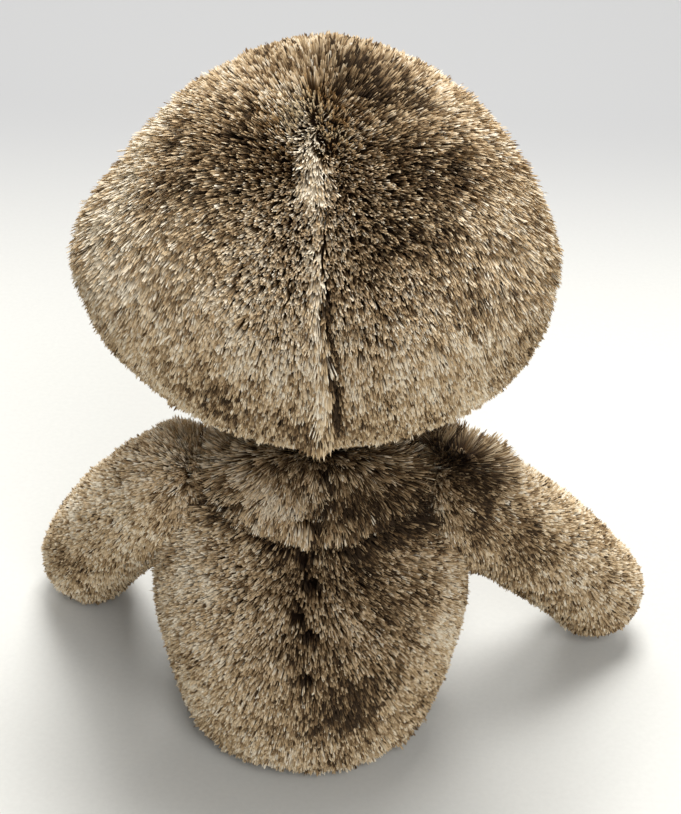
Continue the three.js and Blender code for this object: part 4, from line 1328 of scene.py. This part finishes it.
# Floor and light: a plain pale floor that is a little greyer beyond the toy and fades into a
# pale horizon, and three soft lamps, one over the toy, one behind it and one on its far side.
floor_level = -0.1             # just under the toy
floor_reach = 3000
grey_starts = -0.13            # these four are in metres
grey_full = -0.3
fade_starts = 0.42
fade_full = 1.1
sky_light = (0.22, 0.218, 0.213, 1)
horizon = (0.72, 0.72, 0.71, 1)
lamp_target = Vector((0, 0, 0.08))

floor_material, wires, shader = new_material("pale_floor", 0.9)
place = wires.node("ShaderNodeTexCoord", output=3)
weave = place.node("ShaderNodeTexNoise", None, {"Vector": place, "Scale": 900.0})
cloth = weave.mix(color(224, 223, 217), color(232, 231, 225))
y = place.node("ShaderNodeSeparateXYZ", None, {0: place}, output=1)
greyer = y.node("ShaderNodeMapRange", {"interpolation_type": "SMOOTHSTEP"},
                {"Value": y, "From Min": grey_starts, "From Max": grey_full})
greyer.mix(cloth, color(186, 186, 186)).feed(shader.inputs["Base Color"])
seen = place.node("ShaderNodeLightPath", output="Is Camera Ray")
away = place.node("ShaderNodeVectorMath", {"operation": "LENGTH"}, {0: place}, output=1)
far = away.node("ShaderNodeMapRange", {"interpolation_type": "SMOOTHSTEP"},
                {"Value": away, "From Min": fade_starts, "From Max": fade_full})
# far off, camera rays see the floor as a painted glow in the horizon's colour, which lights
# nothing
glow = far.node("ShaderNodeEmission", None, {"Color": horizon})
lit = wires.node("ShaderNodeMixShader", None, {0: far * seen, 2: glow})
floor_material.node_tree.links.new(shader.outputs["BSDF"], lit.socket.node.inputs[1])
lit.feed(floor_material.node_tree.nodes["Material Output"].inputs["Surface"])
floor_corners = [(x * floor_reach, y * floor_reach, floor_level)
                 for x, y in ((-1, -1), (1, -1), (1, 1), (-1, 1))]
floor = mesh_piece("floor", np.array(floor_corners), [np.array([[0, 1, 2, 3]])],
                   floor_material)

world = bpy.data.worlds.new("world")
world.use_nodes = True
sky = Wire(world.node_tree)
seen = sky.node("ShaderNodeLightPath", output="Is Camera Ray")
mirrored = sky.node("ShaderNodeLightPath", output="Is Glossy Ray")
seen.math("MAXIMUM", seen, mirrored).mix(sky_light, horizon).feed(
    world.node_tree.nodes["Background"].inputs["Color"])
bpy.context.scene.world = world


def lamp(name, place, size, power):
    light = bpy.data.lights.new(name, "AREA")
    light.size = size
    light.energy = power
    fixture = bpy.data.objects.new(name, light)
    fixture.location = place
    fixture.rotation_euler = (lamp_target - Vector(place)).to_track_quat("-Z", "Y").to_euler()
    bpy.context.scene.collection.objects.link(fixture)


lamp("lamp_above", (-0.05, -0.18, 1.05), size=0.45, power=9)
lamp("lamp_behind", (-0.22, 0.8, 0.75), size=0.45, power=4.7)
lamp("lamp_far", (0.1, -0.85, 0.75), size=0.5, power=3.6)

bpy.context.scene.view_settings.view_transform = "Standard"
